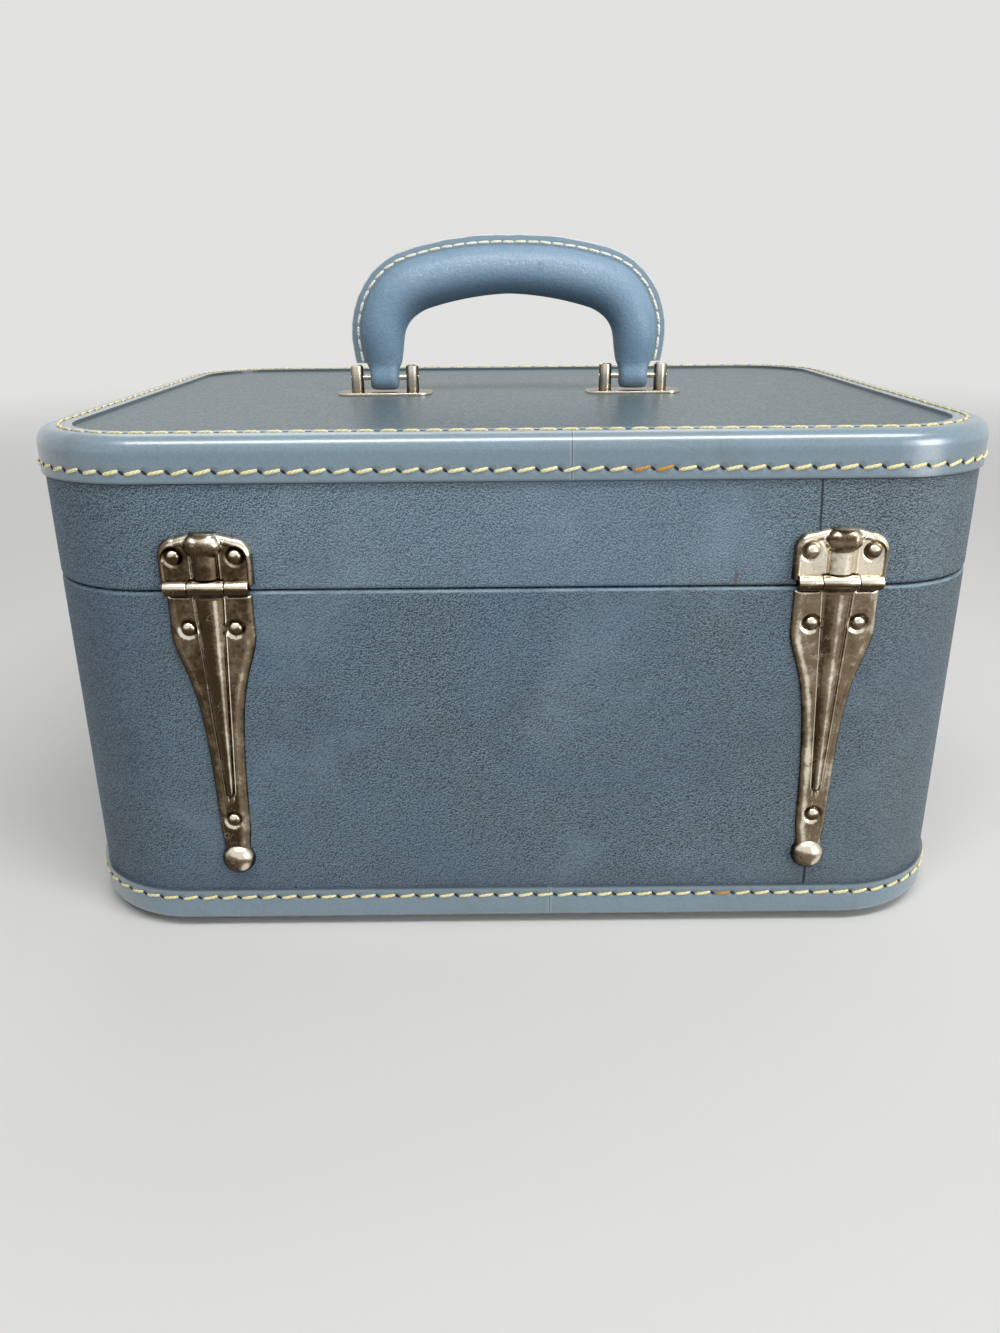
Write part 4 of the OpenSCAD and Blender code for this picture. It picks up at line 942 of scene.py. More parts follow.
class CASE_OT_stitching(bpy.types.Operator):
    """Sews both bindings, with rows on the sides, on the top and underneath"""
    bl_idname = "case.stitching"
    bl_label = "Stitching of the bindings"

    def execute(self, context):
        thread = context.scene.case_thread
        chance = random.Random(11)
        cream = thread_material("Thread", thread.thread)
        rusty = thread_material("Stained thread", thread.stained)
        stitch = make_stitch(thread.stitch, thread.thick, thread.thick * 0.8)
        # Dark lenses that paint the shadow in each awl hole
        hole = ball(8, 3, 0.5, HOLE_SHADOW)
        hole_shadow_look = hole_shadow()
        sides, tops = (thread.side_count, 0.0), (thread.top_count, thread.top_inset)
        for name, (count, inset), z, facing, slant, rust in (
                ("lid_side", sides, LID_LOW.z + thread.lid_row, "side", 13.0, LID_RUST),
                ("lid_top", tops, LID_HIGH.z, 1, 3.0, ()),
                ("body_side", sides, BODY_HIGH.z - thread.body_row, "side", 9.0, BODY_RUST),
                ("body_under", tops, BODY_LOW.z, -1, 3.0, ())):
            body = name.split("_")[0]
            stitches, holes = row_places(context, chance, count, inset, z, facing, slant, thread.thick * 0.16)
            stained = {nearest(context, count, inset, x) for x in rust}
            settle(copies(stitch, stitches, (cream, rusty), stained), name + "_stitches", body, "binding")
            settle(copies(hole, holes, (hole_shadow_look,)), name + "_holes", body, "binding")
        for pattern in (stitch, hole):
            bpy.data.objects.remove(pattern)
        return {"FINISHED"}


def grip_stations(context):
    """Points along the grip's centre line from the left leg to the right, each with its outward angle."""
    grip = context.scene.case_grip
    rise = math.sqrt((grip.crown - grip.bend) ** 2 - (grip.leg_x - grip.bend) ** 2)
    bend_z = grip.crown_z - grip.crown + rise
    meet = math.atan2(rise, grip.bend - grip.leg_x)
    stations = []
    count = max(2, round((bend_z - GRIP_LOW.z) / GRIP_STEP))
    for number in range(count):
        stations.append((-grip.leg_x, GRIP_LOW.z + (bend_z - GRIP_LOW.z) * number / count, math.pi))
    count = round(grip.bend * (math.pi - meet) / GRIP_STEP)
    for number in range(count):
        angle = math.pi + (meet - math.pi) * number / count
        stations.append((grip.bend * (1 + math.cos(angle)) - grip.leg_x, bend_z + grip.bend * math.sin(angle),
                         angle))
    count = round(grip.crown * (meet - math.pi / 2) / GRIP_STEP)
    for number in range(count + 1):
        angle = meet + (math.pi / 2 - meet) * number / count
        stations.append((grip.crown * math.cos(angle),
                         grip.crown_z - grip.crown + grip.crown * math.sin(angle), angle))
    stations += [(-x, z, math.pi - angle) for x, z, angle in reversed(stations[:-1])]
    return stations, bend_z


def grip_half(context, z, angle, bend_z):
    """Half thicknesses of the grip, which thins towards its ends and is fuller round its shoulders."""
    grip = context.scene.case_grip
    swell = math.sin(math.pi / 2 * min(max((z - GRIP_LOW.z) / (bend_z - GRIP_LOW.z + 0.006), 0.0), 1.0))
    lean = abs(math.cos(angle))
    fuller = grip.shoulder * 4 * lean * (1 - lean)
    return grip.across / 2 * (0.82 + 0.18 * swell) + fuller, grip.deep / 2 * (0.62 + 0.38 * swell)


def sweep(rings):
    """A closed skin: one ring is drawn and filled, then extruded to each of the next rings in turn."""
    deselect()
    bpy.ops.mesh.primitive_circle_add(vertices=len(rings[0]), radius=0.01, fill_type="NGON")
    piece = bpy.context.object
    bpy.ops.object.mode_set(mode="EDIT")
    mesh = bmesh.from_edit_mesh(piece.data)
    for vertex, point in zip(mesh.verts, rings[0]):
        vertex.co = point
    bmesh.update_edit_mesh(piece.data)
    for before, ring in zip(rings, rings[1:]):
        bpy.ops.mesh.extrude_region_move()
        mesh = bmesh.from_edit_mesh(piece.data)
        for vertex in [v for v in mesh.verts if v.select]:
            number = min(range(len(before)), key=lambda k: (before[k] - vertex.co).length_squared)
            vertex.co = ring[number]
        bmesh.update_edit_mesh(piece.data)
    face_outwards()
    return piece


def add_modifier(piece, kind, **settings):
    """Adds a modifier with its settings and applies it."""
    only(piece)
    modifier = piece.modifiers.new(kind.title(), kind)
    for key, value in settings.items():
        setattr(modifier, key, value)
    bpy.ops.object.modifier_apply(modifier=modifier.name)


def oval(x, z, angle, wide, deep, blunt=1.0):
    """Ring across the grip's centre line; blunt below 1 squares it off."""
    points = []
    for number in range(GRIP_SIDES):
        turn = math.tau * (number + 0.5) / GRIP_SIDES
        c, s = math.cos(turn), math.sin(turn)
        c, s = math.copysign(abs(c) ** blunt, c), math.copysign(abs(s) ** blunt, s)
        points.append(Vector((x + wide * c * math.cos(angle), deep * s, z + wide * c * math.sin(angle))))
    return points


def make_grip(context, stations, bend_z):
    """The padded grip: round under each pin, narrow beside it, then widening into the leg."""
    leg_x = context.scene.case_grip.leg_x
    loop_x = (LOOP_HIGH.x - LOOP_LOW.x) / 2
    loop_y = (LOOP_HIGH.y - LOOP_LOW.y) / 2
    ends = [(PIN_Z - loop_y + rise, loop_x * wide, loop_y * deep, blunt) for rise, wide, deep, blunt in (
        (0.0, 0.55, 0.18, 0.8), (0.0003, 0.86, 0.42, 0.7), (0.0013, 0.98, 0.72, 0.62),
        (0.003, 1.0, 0.93, 0.6), (loop_y, 1.0, 1.0, 0.6), (loop_y + 0.0018, 1.0, 0.96, 0.63),
        (loop_y + 0.0034, 1.03, 0.92, 0.7), (loop_y + 0.0048, 1.11, 0.93, 0.82))]
    rings = [oval(-leg_x, z, math.pi, wide, deep, blunt) for z, wide, deep, blunt in ends]
    rings += [oval(x, z, angle, *grip_half(context, z, angle, bend_z)) for x, z, angle in stations]
    rings += [oval(leg_x, z, 0.0, wide, deep, blunt) for z, wide, deep, blunt in reversed(ends)]
    skin = sweep(rings)
    add_modifier(skin, "SUBSURF", levels=1, render_levels=1)
    bpy.ops.object.shade_smooth()
    settle(skin, "handle_grip", "handle", "binding", grip_leather(context))
    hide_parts("handle_cover", "handle_core", "handle_loop_left", "handle_loop_right")


def make_flange(context, stations, bend_z, chance):
    """A strip on the outside of the grip, slightly uneven along its cut edge."""
    grip = context.scene.case_grip
    half = grip.flange_thick / 2
    strips = []
    for x, z, angle in stations:
        start, _ = grip_half(context, z, angle, bend_z)
        outward = Vector((math.cos(angle), 0.0, math.sin(angle)))
        centre = Vector((x, 0.0, z))
        reach = start + grip.flange - chance.uniform(0.0, 0.00025)
        spots = ((start - 0.002, -1.25), (start + 0.0009, -1.02), (reach - 0.0006, -0.9), (reach, -0.55),
                 (reach - 0.00025, 0.0), (reach, 0.55), (reach - 0.0006, 0.9), (start + 0.0009, 1.02),
                 (start - 0.002, 1.25))
        strips.append([centre + outward * out + Vector((0.0, half * side, 0.0)) for out, side in spots])
    flange = sweep(strips)
    bpy.ops.object.shade_smooth_by_angle(angle=math.radians(50))
    settle(flange, "handle_flange", "handle", "binding", flange_leather(context))
    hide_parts("handle_cover")


def sew_flange(context, stations, bend_z, chance):
    """One row of stitches on each face of the flange."""
    grip, thread = context.scene.case_grip, context.scene.case_thread
    stitch = make_stitch(thread.grip_stitch, thread.grip_thick, thread.grip_thick * 0.8)
    line = []
    for x, z, angle in stations:
        out = grip_half(context, z, angle, bend_z)[0] + grip.flange - 0.003
        line.append(Vector((x + out * math.cos(angle), 0.0, z + out * math.sin(angle))))
    lengths = [0.0]
    for one, two in zip(line, line[1:]):
        lengths.append(lengths[-1] + (two - one).length)
    count = int(lengths[-1] / thread.grip_pitch)
    places = []
    for number in range(count):
        for side in (-1, 1):
            at = (number + 0.5) * lengths[-1] / count + chance.uniform(-0.0001, 0.0001)
            k = max(i for i in range(len(lengths) - 1) if lengths[i] <= at)
            share = (at - lengths[k]) / (lengths[k + 1] - lengths[k])
            point = line[k].lerp(line[k + 1], share) + Vector((0.0, side * grip.flange_thick / 2, 0.0))
            tilt = Matrix.Rotation(math.radians(chance.uniform(-3, 3)), 4, "Z")
            facing = axes(line[k + 1] - line[k], Vector((0, side, 0)))
            places.append(Matrix.Translation(point) @ facing @ tilt)
    sewn = copies(stitch, places, (thread_material("Handle thread", thread.white, 0.4),))
    bpy.data.objects.remove(stitch)
    settle(sewn, "handle_stitches", "handle", "binding")


class CASE_OT_handle(bpy.types.Operator):
    """Makes the padded grip with its loops, its stitched flange and the thread"""
    bl_idname = "case.handle"
    bl_label = "Handle"

    def execute(self, context):
        stations, bend_z = grip_stations(context)
        chance = random.Random(5)
        make_grip(context, stations, bend_z)
        make_flange(context, stations, bend_z, chance)
        sew_flange(context, stations, bend_z, chance)
        return {"FINISHED"}


def smooth_copy(name, look, slot, bevel=0.0004, segments=3):
    """A copy of a node that stands for it, with loose faces joined, smoothed and its sharp edges eased."""
    node = NODES[name]
    piece = node.copy()
    piece.data = node.data.copy()
    for key in list(piece.keys()):
        del piece[key]
    piece.parent = None
    bpy.context.scene.collection.objects.link(piece)
    only(piece)
    bpy.ops.mesh.customdata_custom_splitnormals_clear()
    bpy.ops.object.mode_set(mode="EDIT")
    bpy.ops.mesh.select_all(action="SELECT")
    bpy.ops.mesh.remove_doubles(threshold=0.000005)
    bpy.ops.mesh.dissolve_limited(angle_limit=math.radians(0.6))
    bpy.ops.object.mode_set(mode="OBJECT")
    if bevel:
        add_modifier(piece, "BEVEL", width=bevel, segments=segments, limit_method="ANGLE",
                     angle_limit=math.radians(40), use_clamp_overlap=True, harden_normals=False)
    bpy.ops.object.shade_smooth_by_angle(angle=SMOOTH_ANGLE)
    settle(piece, name + "_finished", node["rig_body"], slot, look)
    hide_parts(name)
    return piece


def ease(value, low, high):
    """Share from 0 to 1 as a value goes from low to high, soft at both ends."""
    share = min(max((value - low) / (high - low), 0.0), 1.0)
    return share * share * (3 - 2 * share)


def arch(share):
    """Height of a quarter round over its base, from 0 at its foot to 1."""
    share = min(max(share, 0.0), 1.0)
    return math.sqrt(1 - (1 - share) ** 2)


def relief(rows):
    """Pressed metal: a grid set in rows of (across, out, up, wear), with sides down to the cover."""
    deselect()
    bpy.ops.mesh.primitive_grid_add(x_subdivisions=len(rows[0]) - 1, y_subdivisions=len(rows) - 1, size=2.0)
    piece = bpy.context.object
    wear_and_light = piece.data.attributes.new("wear_and_light", "FLOAT", "POINT")
    points = (point for row in rows for point in row)
    for vertex, value, (across, out, up, shine) in zip(piece.data.vertices, wear_and_light.data, points):
        vertex.co = (across, out, up)
        value.value = shine
    bpy.ops.object.mode_set(mode="EDIT")
    bpy.ops.mesh.select_all(action="SELECT")
    bpy.ops.mesh.region_to_loop()
    bpy.ops.mesh.extrude_edges_move()
    bpy.ops.transform.resize(value=(1.0, 0.0, 1.0), center_override=(0.0, 0.0, 0.0))
    bpy.ops.mesh.edge_face_add()
    face_outwards()
    bpy.ops.object.shade_smooth_by_angle(angle=math.radians(60))
    return piece


def rod(radius, size, place, blunt):
    """Round rod across the case, with blunted ends."""
    deselect()
    bpy.ops.mesh.primitive_cylinder_add(vertices=40, radius=radius, depth=size, location=place,
                                        rotation=(0.0, math.pi / 2, 0.0))
    piece = bpy.context.object
    bpy.ops.object.transform_apply(location=True, rotation=True, scale=True)
    add_modifier(piece, "BEVEL", width=blunt, segments=3, limit_method="ANGLE", angle_limit=math.radians(60))
    bpy.ops.object.shade_smooth_by_angle(angle=math.radians(40))
    return piece


def leaf_half(form, down):
    """Half width of the long leaf at a distance below its top edge: shoulder, waist, neck above the ball."""
    fall = max(down - form.shoulder, 0.0) / form.fall
    half = form.neck_w / 2 + (form.leaf_w - form.neck_w) / 2 / (1 + fall ** 1.8)
    return half - 0.0006 * ease(down, form.leaf_len - form.ball, form.leaf_len - form.ball / 2)


def dish(form, across, along):
    """How deep the leaf is pressed round a rivet: a cone down to the head, with a faint raised lip."""
    away = math.hypot(across, along)
    head = form.rivet / 2
    lip = 0.00016 * ease(abs(away - head - 0.0014), 0.0005, 0.0)
    return 0.0005 * ease(away, head + 0.0011, head - 0.0001) - lip


def ring_lit(form, rivets, x, down):
    """Painted light in the dish round each rivet: a painted highlight crescent below and to the side that
    looks at the light, painted shade on the other side.
    """
    lit = 0.0
    for spot, z in rivets:
        for middle in {spot, -spot}:
            across, below = x - middle, down + z
            away = math.hypot(across, below)
            side = (0.5 * across + 0.8 * below) / max(away, 0.0001)
            ring = ease(abs(away - form.rivet / 2 - 0.0006), 0.0008, 0.0002)
            lit += ring * (0.75 * ease(side, 0.0, 0.7) - 0.3 * ease(-side, 0.0, 0.7))
    return lit


def leaf_level(form, down):
    """Measures of the long leaf at a distance below its top edge, those across it taken from its middle.

    rib is where the rib ends and left how much of its height is left, line where the crease beside it runs
    and near how much of that is left, start where the side begins to roll and half where it ends.
    """
    half = leaf_half(form, down)
    share = min(down / form.rib_len, 1.0)
    left = math.sqrt(max(0.0, 1 - max(down - form.rib_len + RIB_END, 0.0) ** 2 / RIB_END ** 2))
    rib = (form.rib_w + (form.rib_tip - form.rib_w) * share) / 2 * max(left, 0.35)
    near = max(0.0, 1 - max(down - form.rib_len - 0.0012, 0.0) / 0.001)
    line = rib + 0.0009 - 0.0003 * share
    start = max(half - form.roll, line + 0.0007)
    return LeafLevel(down, rib, left, line, near, start, half)


def leaf_places(form, level):
    """Where the points of a row lie, out from the leaf's middle: rib, crease, flat and rolled side."""
    rib, line, start, crease = level.rib, level.line, level.start, form.crease / 2
    places = [rib * k / 7 for k in range(8)] + [rib + 0.0003]
    places += [line + crease * share for share in (-1.0, -0.5, 0.0, 0.5, 1.0)]
    places += [line + crease + (start - line - crease) * k / 18 for k in range(1, 19)]
    return places + [start + (level.half - start) * (1 - (1 - k / 7) ** 1.6) for k in range(1, 8)]


def leaf_out(form, level, across, rivets):
    """How far the long leaf stands out from the cover."""
    out = form.leaf_h
    if across < level.rib:
        out += form.rib_h * level.left * (1 - (across / level.rib) ** 2.4) ** 0.55 - 0.0003 * level.near
    elif across < level.line:
        out -= 0.00035 * level.near * ease(across, level.line, level.rib + 0.0002)
    out += 0.00028 * level.near * ease(abs(across - level.line), form.crease / 2, 0.0)
    if across > level.start:
        side = (across - level.start) / (level.half - level.start)
        out = SIDE_OUT + (form.leaf_h - SIDE_OUT) * (1 - side ** 2.2) ** 0.62
    if across > form.knuckle / 2:
        out = min(out, TOP_OUT + (form.leaf_h - TOP_OUT) * arch(level.down / TOP_ROUND))
    for x, z in rivets:
        out -= dish(form, across - abs(x), level.down + z)
    return max(out, 0.0001)


def leaf_painted_light(form, level, x, rivets, streak, glow, inward):
    """Painted light on the long leaf: painted highlights along its creases and top edge, a painted highlight
    streak on its rib with painted shade beside it, painted highlights on its sides and in the dishes of the
    rivets.
    """
    far = abs(x)
    wear_and_light = level.near * ease(abs(far - level.line), form.crease / 2, 0.0)
    if far > form.knuckle / 2:
        wear_and_light = max(wear_and_light, 0.7 * ease(level.down, TOP_ROUND, 0.0003))
    if far < level.rib:
        away = abs(-x / level.rib - streak)
        wear_and_light += level.left * (glow * ease(away, 0.28, 0.05) - 0.2 * ease(away, 0.3, 0.6))
    wear_and_light += 0.38 * ease(abs(x * inward - level.half + 0.0022), 0.0016, 0.0) * ease(level.down, 0.004, 0.02)
    wear_and_light += 0.1 * ease(abs(x * inward + level.start), 0.0003, 0.0)
    return wear_and_light + ring_lit(form, rivets, x, level.down)


def leaf_rows(form, rivets, streak, glow, inward):
    """Rows of the long leaf: a half-round rib between two raised creases, flats and rolled sides.

    streak is where the painted highlight runs along the rib, as a share of its half width towards -X, and
    glow how bright it is. The leaf's side that looks inward (1 or -1 along X) takes a soft band of painted
    highlight.
    """
    rows = []
    for down in [0.0, 0.00015, 0.0004, 0.0008, 0.0013] + [0.002 + 0.00062 * n for n in range(156)]:
        level = leaf_level(form, down)
        half = [(across, leaf_out(form, level, across, rivets)) for across in leaf_places(form, level)]
        whole = [(-x, out) for x, out in reversed(half[1:])] + half
        rows.append([(x, out, -form.drop - down, leaf_painted_light(form, level, x, rivets, streak, glow, inward))
                     for x, out in whole])
    return rows


def spread(share):
    """Moves evenly spaced shares closer together towards -1 and 1."""
    return 0.55 * share + 0.45 * math.sin(share * math.pi / 2)


def cap_place(form, across, upward):
    """A place on the short leaf, from shares of its width and its height.

    Returns x and z, how far in from the edge it lies, as a share of the rim, and how much the rim looks up.
    """
    wide = form.cap_w / 2
    x = wide * spread(across)
    far = abs(x)
    bow = form.cap_top - form.cap_bow * min(far / (wide - form.cap_r), 1.0) ** 2
    over = max(far - wide + form.cap_r, 0.0)
    top = bow - form.cap_r + math.sqrt(max(form.cap_r ** 2 - over ** 2, 0.0))
    low = form.barrel / 2 + 0.0004 if far < form.knuckle / 2 else 0.0008
    z = low + (top - low) * spread(upward)
    up = max(z - bow + form.cap_r, 0.0)
    reach = math.hypot(over, up)
    lean = up / max(reach, 0.0001)
    rim = SIDE_RIM + (form.rim - SIDE_RIM) * lean
    return x, z, (form.cap_r - reach) / rim, lean


def cap_point(form, across, upward, rivets, flats):
    """A point of the short leaf as (across, out, up, wear), from shares of its width and its height."""
    x, z, inside, lean = cap_place(form, across, upward)
    far, tall = abs(x), form.cap_top
    out = form.cap_h * (0.12 + 0.88 * arch(inside / 0.62)) + 0.00025 * ease(inside, 0.45, 0.7)
    out -= 0.0005 * ease(inside, 0.82, 1.12)
    # Creases from the bulb's shoulders down to the barrel, with a hollow inside them
    vase = 0.0049 + 0.0019 * ease(z, 0.0115, 0.0158)
    middle = tall - form.cap_bow / 3 - form.bulb_d / 2
    line = ease(z, tall - 0.002, tall - 0.0042) * ease(abs(far - vase), 0.00045, 0.0)
    out += 0.0003 * line - 0.0004 * ease(z, middle, middle - 0.003) * ease(far, vase, vase - 0.0008)
    # The round neck, and the bulb with a soft joint to it
    neck = form.rib_w / 2
    if far < neck:
        out = max(out, form.cap_h - neck * 0.5 + math.sqrt(neck ** 2 - far ** 2) * 0.94)
    reach = math.hypot(max(far - (form.bulb_w - form.bulb_d) / 2, 0.0), z - middle)
    if reach < form.bulb_d / 2:
        bulb = form.cap_h - 0.0011 + math.sqrt((form.bulb_d / 2) ** 2 - reach ** 2)
        gap = max(BULB_JOINT - abs(out - bulb), 0.0) / BULB_JOINT
        out = max(out, bulb) + 0.00015 * gap * gap
    for spot_x, spot_z in rivets:
        out -= dish(form, far - abs(spot_x), z - spot_z)
    # Painted highlights along the creases and on the rim where it looks up; by the share flats, painted light
    # on the flats and painted shade on the bulb
    wear_and_light = 0.6 * line + 0.3 * lean * ease(abs(inside - 0.55), 0.4, 0.0)
    wear_and_light += flats * ease(inside, 0.8, 1.1) * ease(z, tall - 0.0028, tall - 0.0046)
    wear_and_light -= flats * 1.1 * ease(reach, form.bulb_d / 2 + 0.0002, form.bulb_d / 2 - 0.0004)
    return x, out, z, wear_and_light


def cap_rows(form, rivets, flats):
    """Rows of the short leaf: a pillow with a rolled rim, a bulb, a neck and the creases below it.

    flats is how much painted light brightens its flats and painted shade darkens the bulb and the hollows
    round it.
    """
    columns, count = 124, 68
    return [[cap_point(form, 2 * column / columns - 1, number / count, rivets, flats)
             for column in range(columns + 1)] for number in range(count + 1)]


def store_wear_and_light(piece, rule):
    """Adds to how bright each point of a piece is stored, from rubbing and from painted light, by a rule that
    takes the point's normal.
    """
    if "wear_and_light" not in piece.data.attributes:
        piece.data.attributes.new("wear_and_light", "FLOAT", "POINT")
    for vertex, value in zip(piece.data.vertices, piece.data.attributes["wear_and_light"].data):
        value.value += rule(vertex.normal)


def wear_and_light_by_facing(piece, bias=0.0, way=1):
    """Painted light on the faces that look up and towards the light on one side, painted shade on those
    turned away, over a level set by bias; way 1 is the back, -1 the front.
    """
    towards = Vector((-0.5 * way, 0.3 * way, 0.81))

    def rule(normal):
        facing = normal.dot(towards) - 0.3
        return 0.26 + bias + 0.75 * ease(facing, 0.05, 0.55) - 0.26 * ease(-facing, 0.05, 0.6)
    store_wear_and_light(piece, rule)


def half_lit(normal):
    """Painted light on a barrel: a painted highlight line above its middle, painted shade on top and below.
    """
    line = ease(abs(normal.z - 0.42), 0.3, 0.12)
    return 0.5 * line - 0.35 * ease(normal.z, 0.7, 0.9) - 0.5 * ease(-normal.z, -0.1, 0.2)


def head_lit(normal):
    """Painted light on a rivet's head: a painted highlight spot on its upper part and a rim in painted shade.
    """
    spot = ease((normal - Vector((0.1, 0.85, 0.42))).length, 0.5, 0.2)
    return 0.8 * spot - 0.3 * ease(normal.y, 0.75, 0.45)


def ball_lit(normal):
    """Painted light on the ball end: painted shade at its rim and below, a painted highlight above and in a
    spot low on one side.
    """
    face = max(normal.y, 0.0)
    spot = ease((normal - Vector((-0.42, 0.85, -0.3))).length, 0.45, 0.15)
    return 0.55 * ease(normal.z, 0.1, 0.5) * ease(face, 0.1, 0.45) + 0.7 * spot - 0.5 * ease(face, 0.7, 0.3)


def banded(normal):
    """Painted light on a post: an upright painted highlight band on its front and its back, between sides in
    painted shade.
    """
    across = normal.x if normal.y < 0 else -normal.x
    side = 0.35 * ease(abs(across + 0.08), 0.25, 0.42) + 0.6 * ease(abs(across), 0.72, 0.93)
    return 1.0 - side * ease(abs(normal.z), 0.9, 0.3)


def edge_lit(normal):
    """Painted light on a plate: dull on its top and a painted highlight round its edge."""
    return 0.34 + 0.66 * ease(1 - abs(normal.z), 0.06, 0.35)


def front_lit(normal):
    """Painted light on a latch: painted highlights on its eased edges, brighter than its flat front, and
    painted shade on faces turned fully sideways.
    """
    return 0.45 * ease(1 - abs(normal.y), 0.04, 0.3) - 0.9 * ease(1 - abs(normal.y), 0.7, 0.95)


def plated_metal(context, name, pitted=1.0):
    """Old nickel over brown: bright where it was rubbed and where light is painted, dull in the hollows and
    where shade is painted, pitted and scratched.
    """
    metal = context.scene.case_metal
    w = material(name)
    # The stored value holds both rubbing and painted light and shade
    wear_and_light = w.node("Attribute", attribute_name="wear_and_light").outputs["Fac"]
    patch = w.patches(0.009, 0.5, 0.22, 3.0)
    fine = w.patches(0.0018, 0.52, 0.2, 7.0)
    rubbed = w.add(wear_and_light, w.mul_add(patch, 0.34 * pitted, -0.17 * pitted))
    rubbed = w.math("ADD", rubbed, w.mul_add(fine, 0.16 * pitted, -0.08 * pitted), clamp=True)
    middle = tuple((a * b) ** 0.5 for a, b in zip(metal.tarnish, metal.worn_and_highlight))
    tint = w.mix(w.ramp(rubbed, 0.02, 0.48), metal.tarnish, middle)
    tint = w.mix(w.ramp(rubbed, 0.45, 0.92), tint, metal.worn_and_highlight)
    pits = w.patches(0.0016, 0.66, 0.04, 5.0)
    tint = w.stain(tint, pits, 0.65 * pitted, times(metal.tarnish, 0.35))
    tint = w.stain(tint, w.scratched(0.005, 0.014), 0.3, metal.worn_and_highlight)
    rough = w.mul_add(patch, 0.1, 0.2)
    rough = w.mul_add(pits, 0.25 * pitted, rough)
    height = w.mul_add(pits, -0.6, w.noise(0.0025, 3.0))
    return finish(w, tint, rough, height, 0.0001 * pitted, 0.55, metallic=1.0)


class CASE_OT_hinges(bpy.types.Operator):
    """Presses the two long hinges: leaves, bulbed caps, ball ends and knuckles, with their rivets and pins"""
    bl_idname = "case.hinges"
    bl_label = "Hinges"

    def execute(self, context):
        form = context.scene.case_hinge
        metal = plated_metal(context, "Hinge metal")
        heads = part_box("hinge_leaf_rivets"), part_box("hinge_cap_rivets")
        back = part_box("body_cover")[1].y
        for side, bright in (("left", True), ("right", False)):
            low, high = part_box("hinge_leaf_" + side)
            middle = (low.x + high.x) / 2
            barrel_z = high.z - form.barrel / 2
            barrel_y = high.y - form.barrel / 2 - back
            off = abs(middle - (heads[0][0].x + heads[0][1].x) / 2)
            leaf_x, cap_x = ((head[1].x - head[0].x) / 2 - form.rivet / 2 - off for head in heads)
            leaf_z = heads[0][1].z - form.rivet / 2 - barrel_z
            cap_z = (heads[1][0].z + heads[1][1].z) / 2 - barrel_z
            # The hinge on the picture's right takes painted light, the other painted shade
            bias = LIT_HINGE_BIAS if bright else SHADED_HINGE_BIAS
            leaf = press_leaf(form, leaf_x, leaf_z, barrel_y, bright, bias)
            cap = press_cap(form, cap_x, cap_z, barrel_y, bright, bias)
            for whole, part, body in ((leaf, "leaf", "body"), (cap, "cap", "lid")):
                whole.data.transform(Matrix.Translation((middle, back, barrel_z)))
                settle(whole, f"hinge_{part}_pressed_{side}", body, "hinge_metal", metal)
                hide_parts(f"hinge_{part}_{side}", f"hinge_{part}_rivets")
        colours = context.scene.case_metal
        give(("hinge_pins",),
             worn_metal("Pin nickel", colours.tarnish, colours.nickel, 0.12, 0.13, 0.22, 0.3))
        return {"FINISHED"}


def press_leaf(form, rivet_x, rivet_z, barrel_y, bright, bias):
    """The long leaf on the body, with its ball end, three rivets and the middle knuckle."""
    foot = -form.drop - form.leaf_len
    tail = foot + form.tail_rivet
    streak, glow = (0.25, 0.28) if bright else (0.52, 0.55)
    leaf = relief(leaf_rows(form, [(rivet_x, rivet_z + form.drop), (0.0, tail + form.drop)], streak, glow,
                            1 if bright else -1))
    # Painted light on the long leaf, its ball end, its knuckle's tongue and its rivets
    wear_and_light_by_facing(leaf, bias)
    end = ball(48, 24, form.ball / 2, (1.0, form.ball_h * 2 / form.ball, 1.0), (0.0, 0.0, foot))
    wear_and_light_by_facing(end, bias)
    store_wear_and_light(end, ball_lit)
    middle = knuckle(form, form.knuckle, 0.0, barrel_y, bias)
    bridge = relief(bridge_rows(form, barrel_y))
    wear_and_light_by_facing(bridge, bias)
    heads = [rivet_head(form, x, form.leaf_h - RIVET_SUNK, z, bias)
             for x, z in ((-rivet_x, rivet_z), (rivet_x, rivet_z), (0.0, tail))]
    return join([leaf, end, middle, bridge] + heads)


def press_cap(form, rivet_x, rivet_z, barrel_y, bright, bias):
    """The short leaf on the lid, with its bulb, two rivets and the outer knuckles."""
    cap = relief(cap_rows(form, [(rivet_x, rivet_z)], 0.5 if bright else 0.0))
    # Painted light on the short leaf, its knuckles and its rivets
    wear_and_light_by_facing(cap, bias)
    size = (form.barrel_len - form.knuckle) / 2 - 0.0002
    ends = [knuckle(form, size, way * (form.barrel_len - size) / 2, barrel_y, bias) for way in (-1, 1)]
    heads = [rivet_head(form, x, form.cap_h - RIVET_SUNK, rivet_z, bias) for x in (-rivet_x, rivet_x)]
    return join([cap] + ends + heads)


def knuckle(form, size, x, y, bias):
    """A length of the barrel."""
    piece = rod(form.barrel / 2, size, (x, y, 0.0), 0.0003)
    # Painted light on the knuckle
    wear_and_light_by_facing(piece, bias + 0.1)
    store_wear_and_light(piece, half_lit)
    return piece


def rivet_head(form, x, out, z, bias):
    """Domed head of a rivet, sitting in its dish."""
    piece = ball(24, 12, form.rivet / 2, (1.0, 1.0, 0.62), (x, out, z), (-math.pi / 2, 0.0, 0.0))
    # Painted light on the rivet's head
    wear_and_light_by_facing(piece, bias - 0.15)
    store_wear_and_light(piece, head_lit)
    return piece


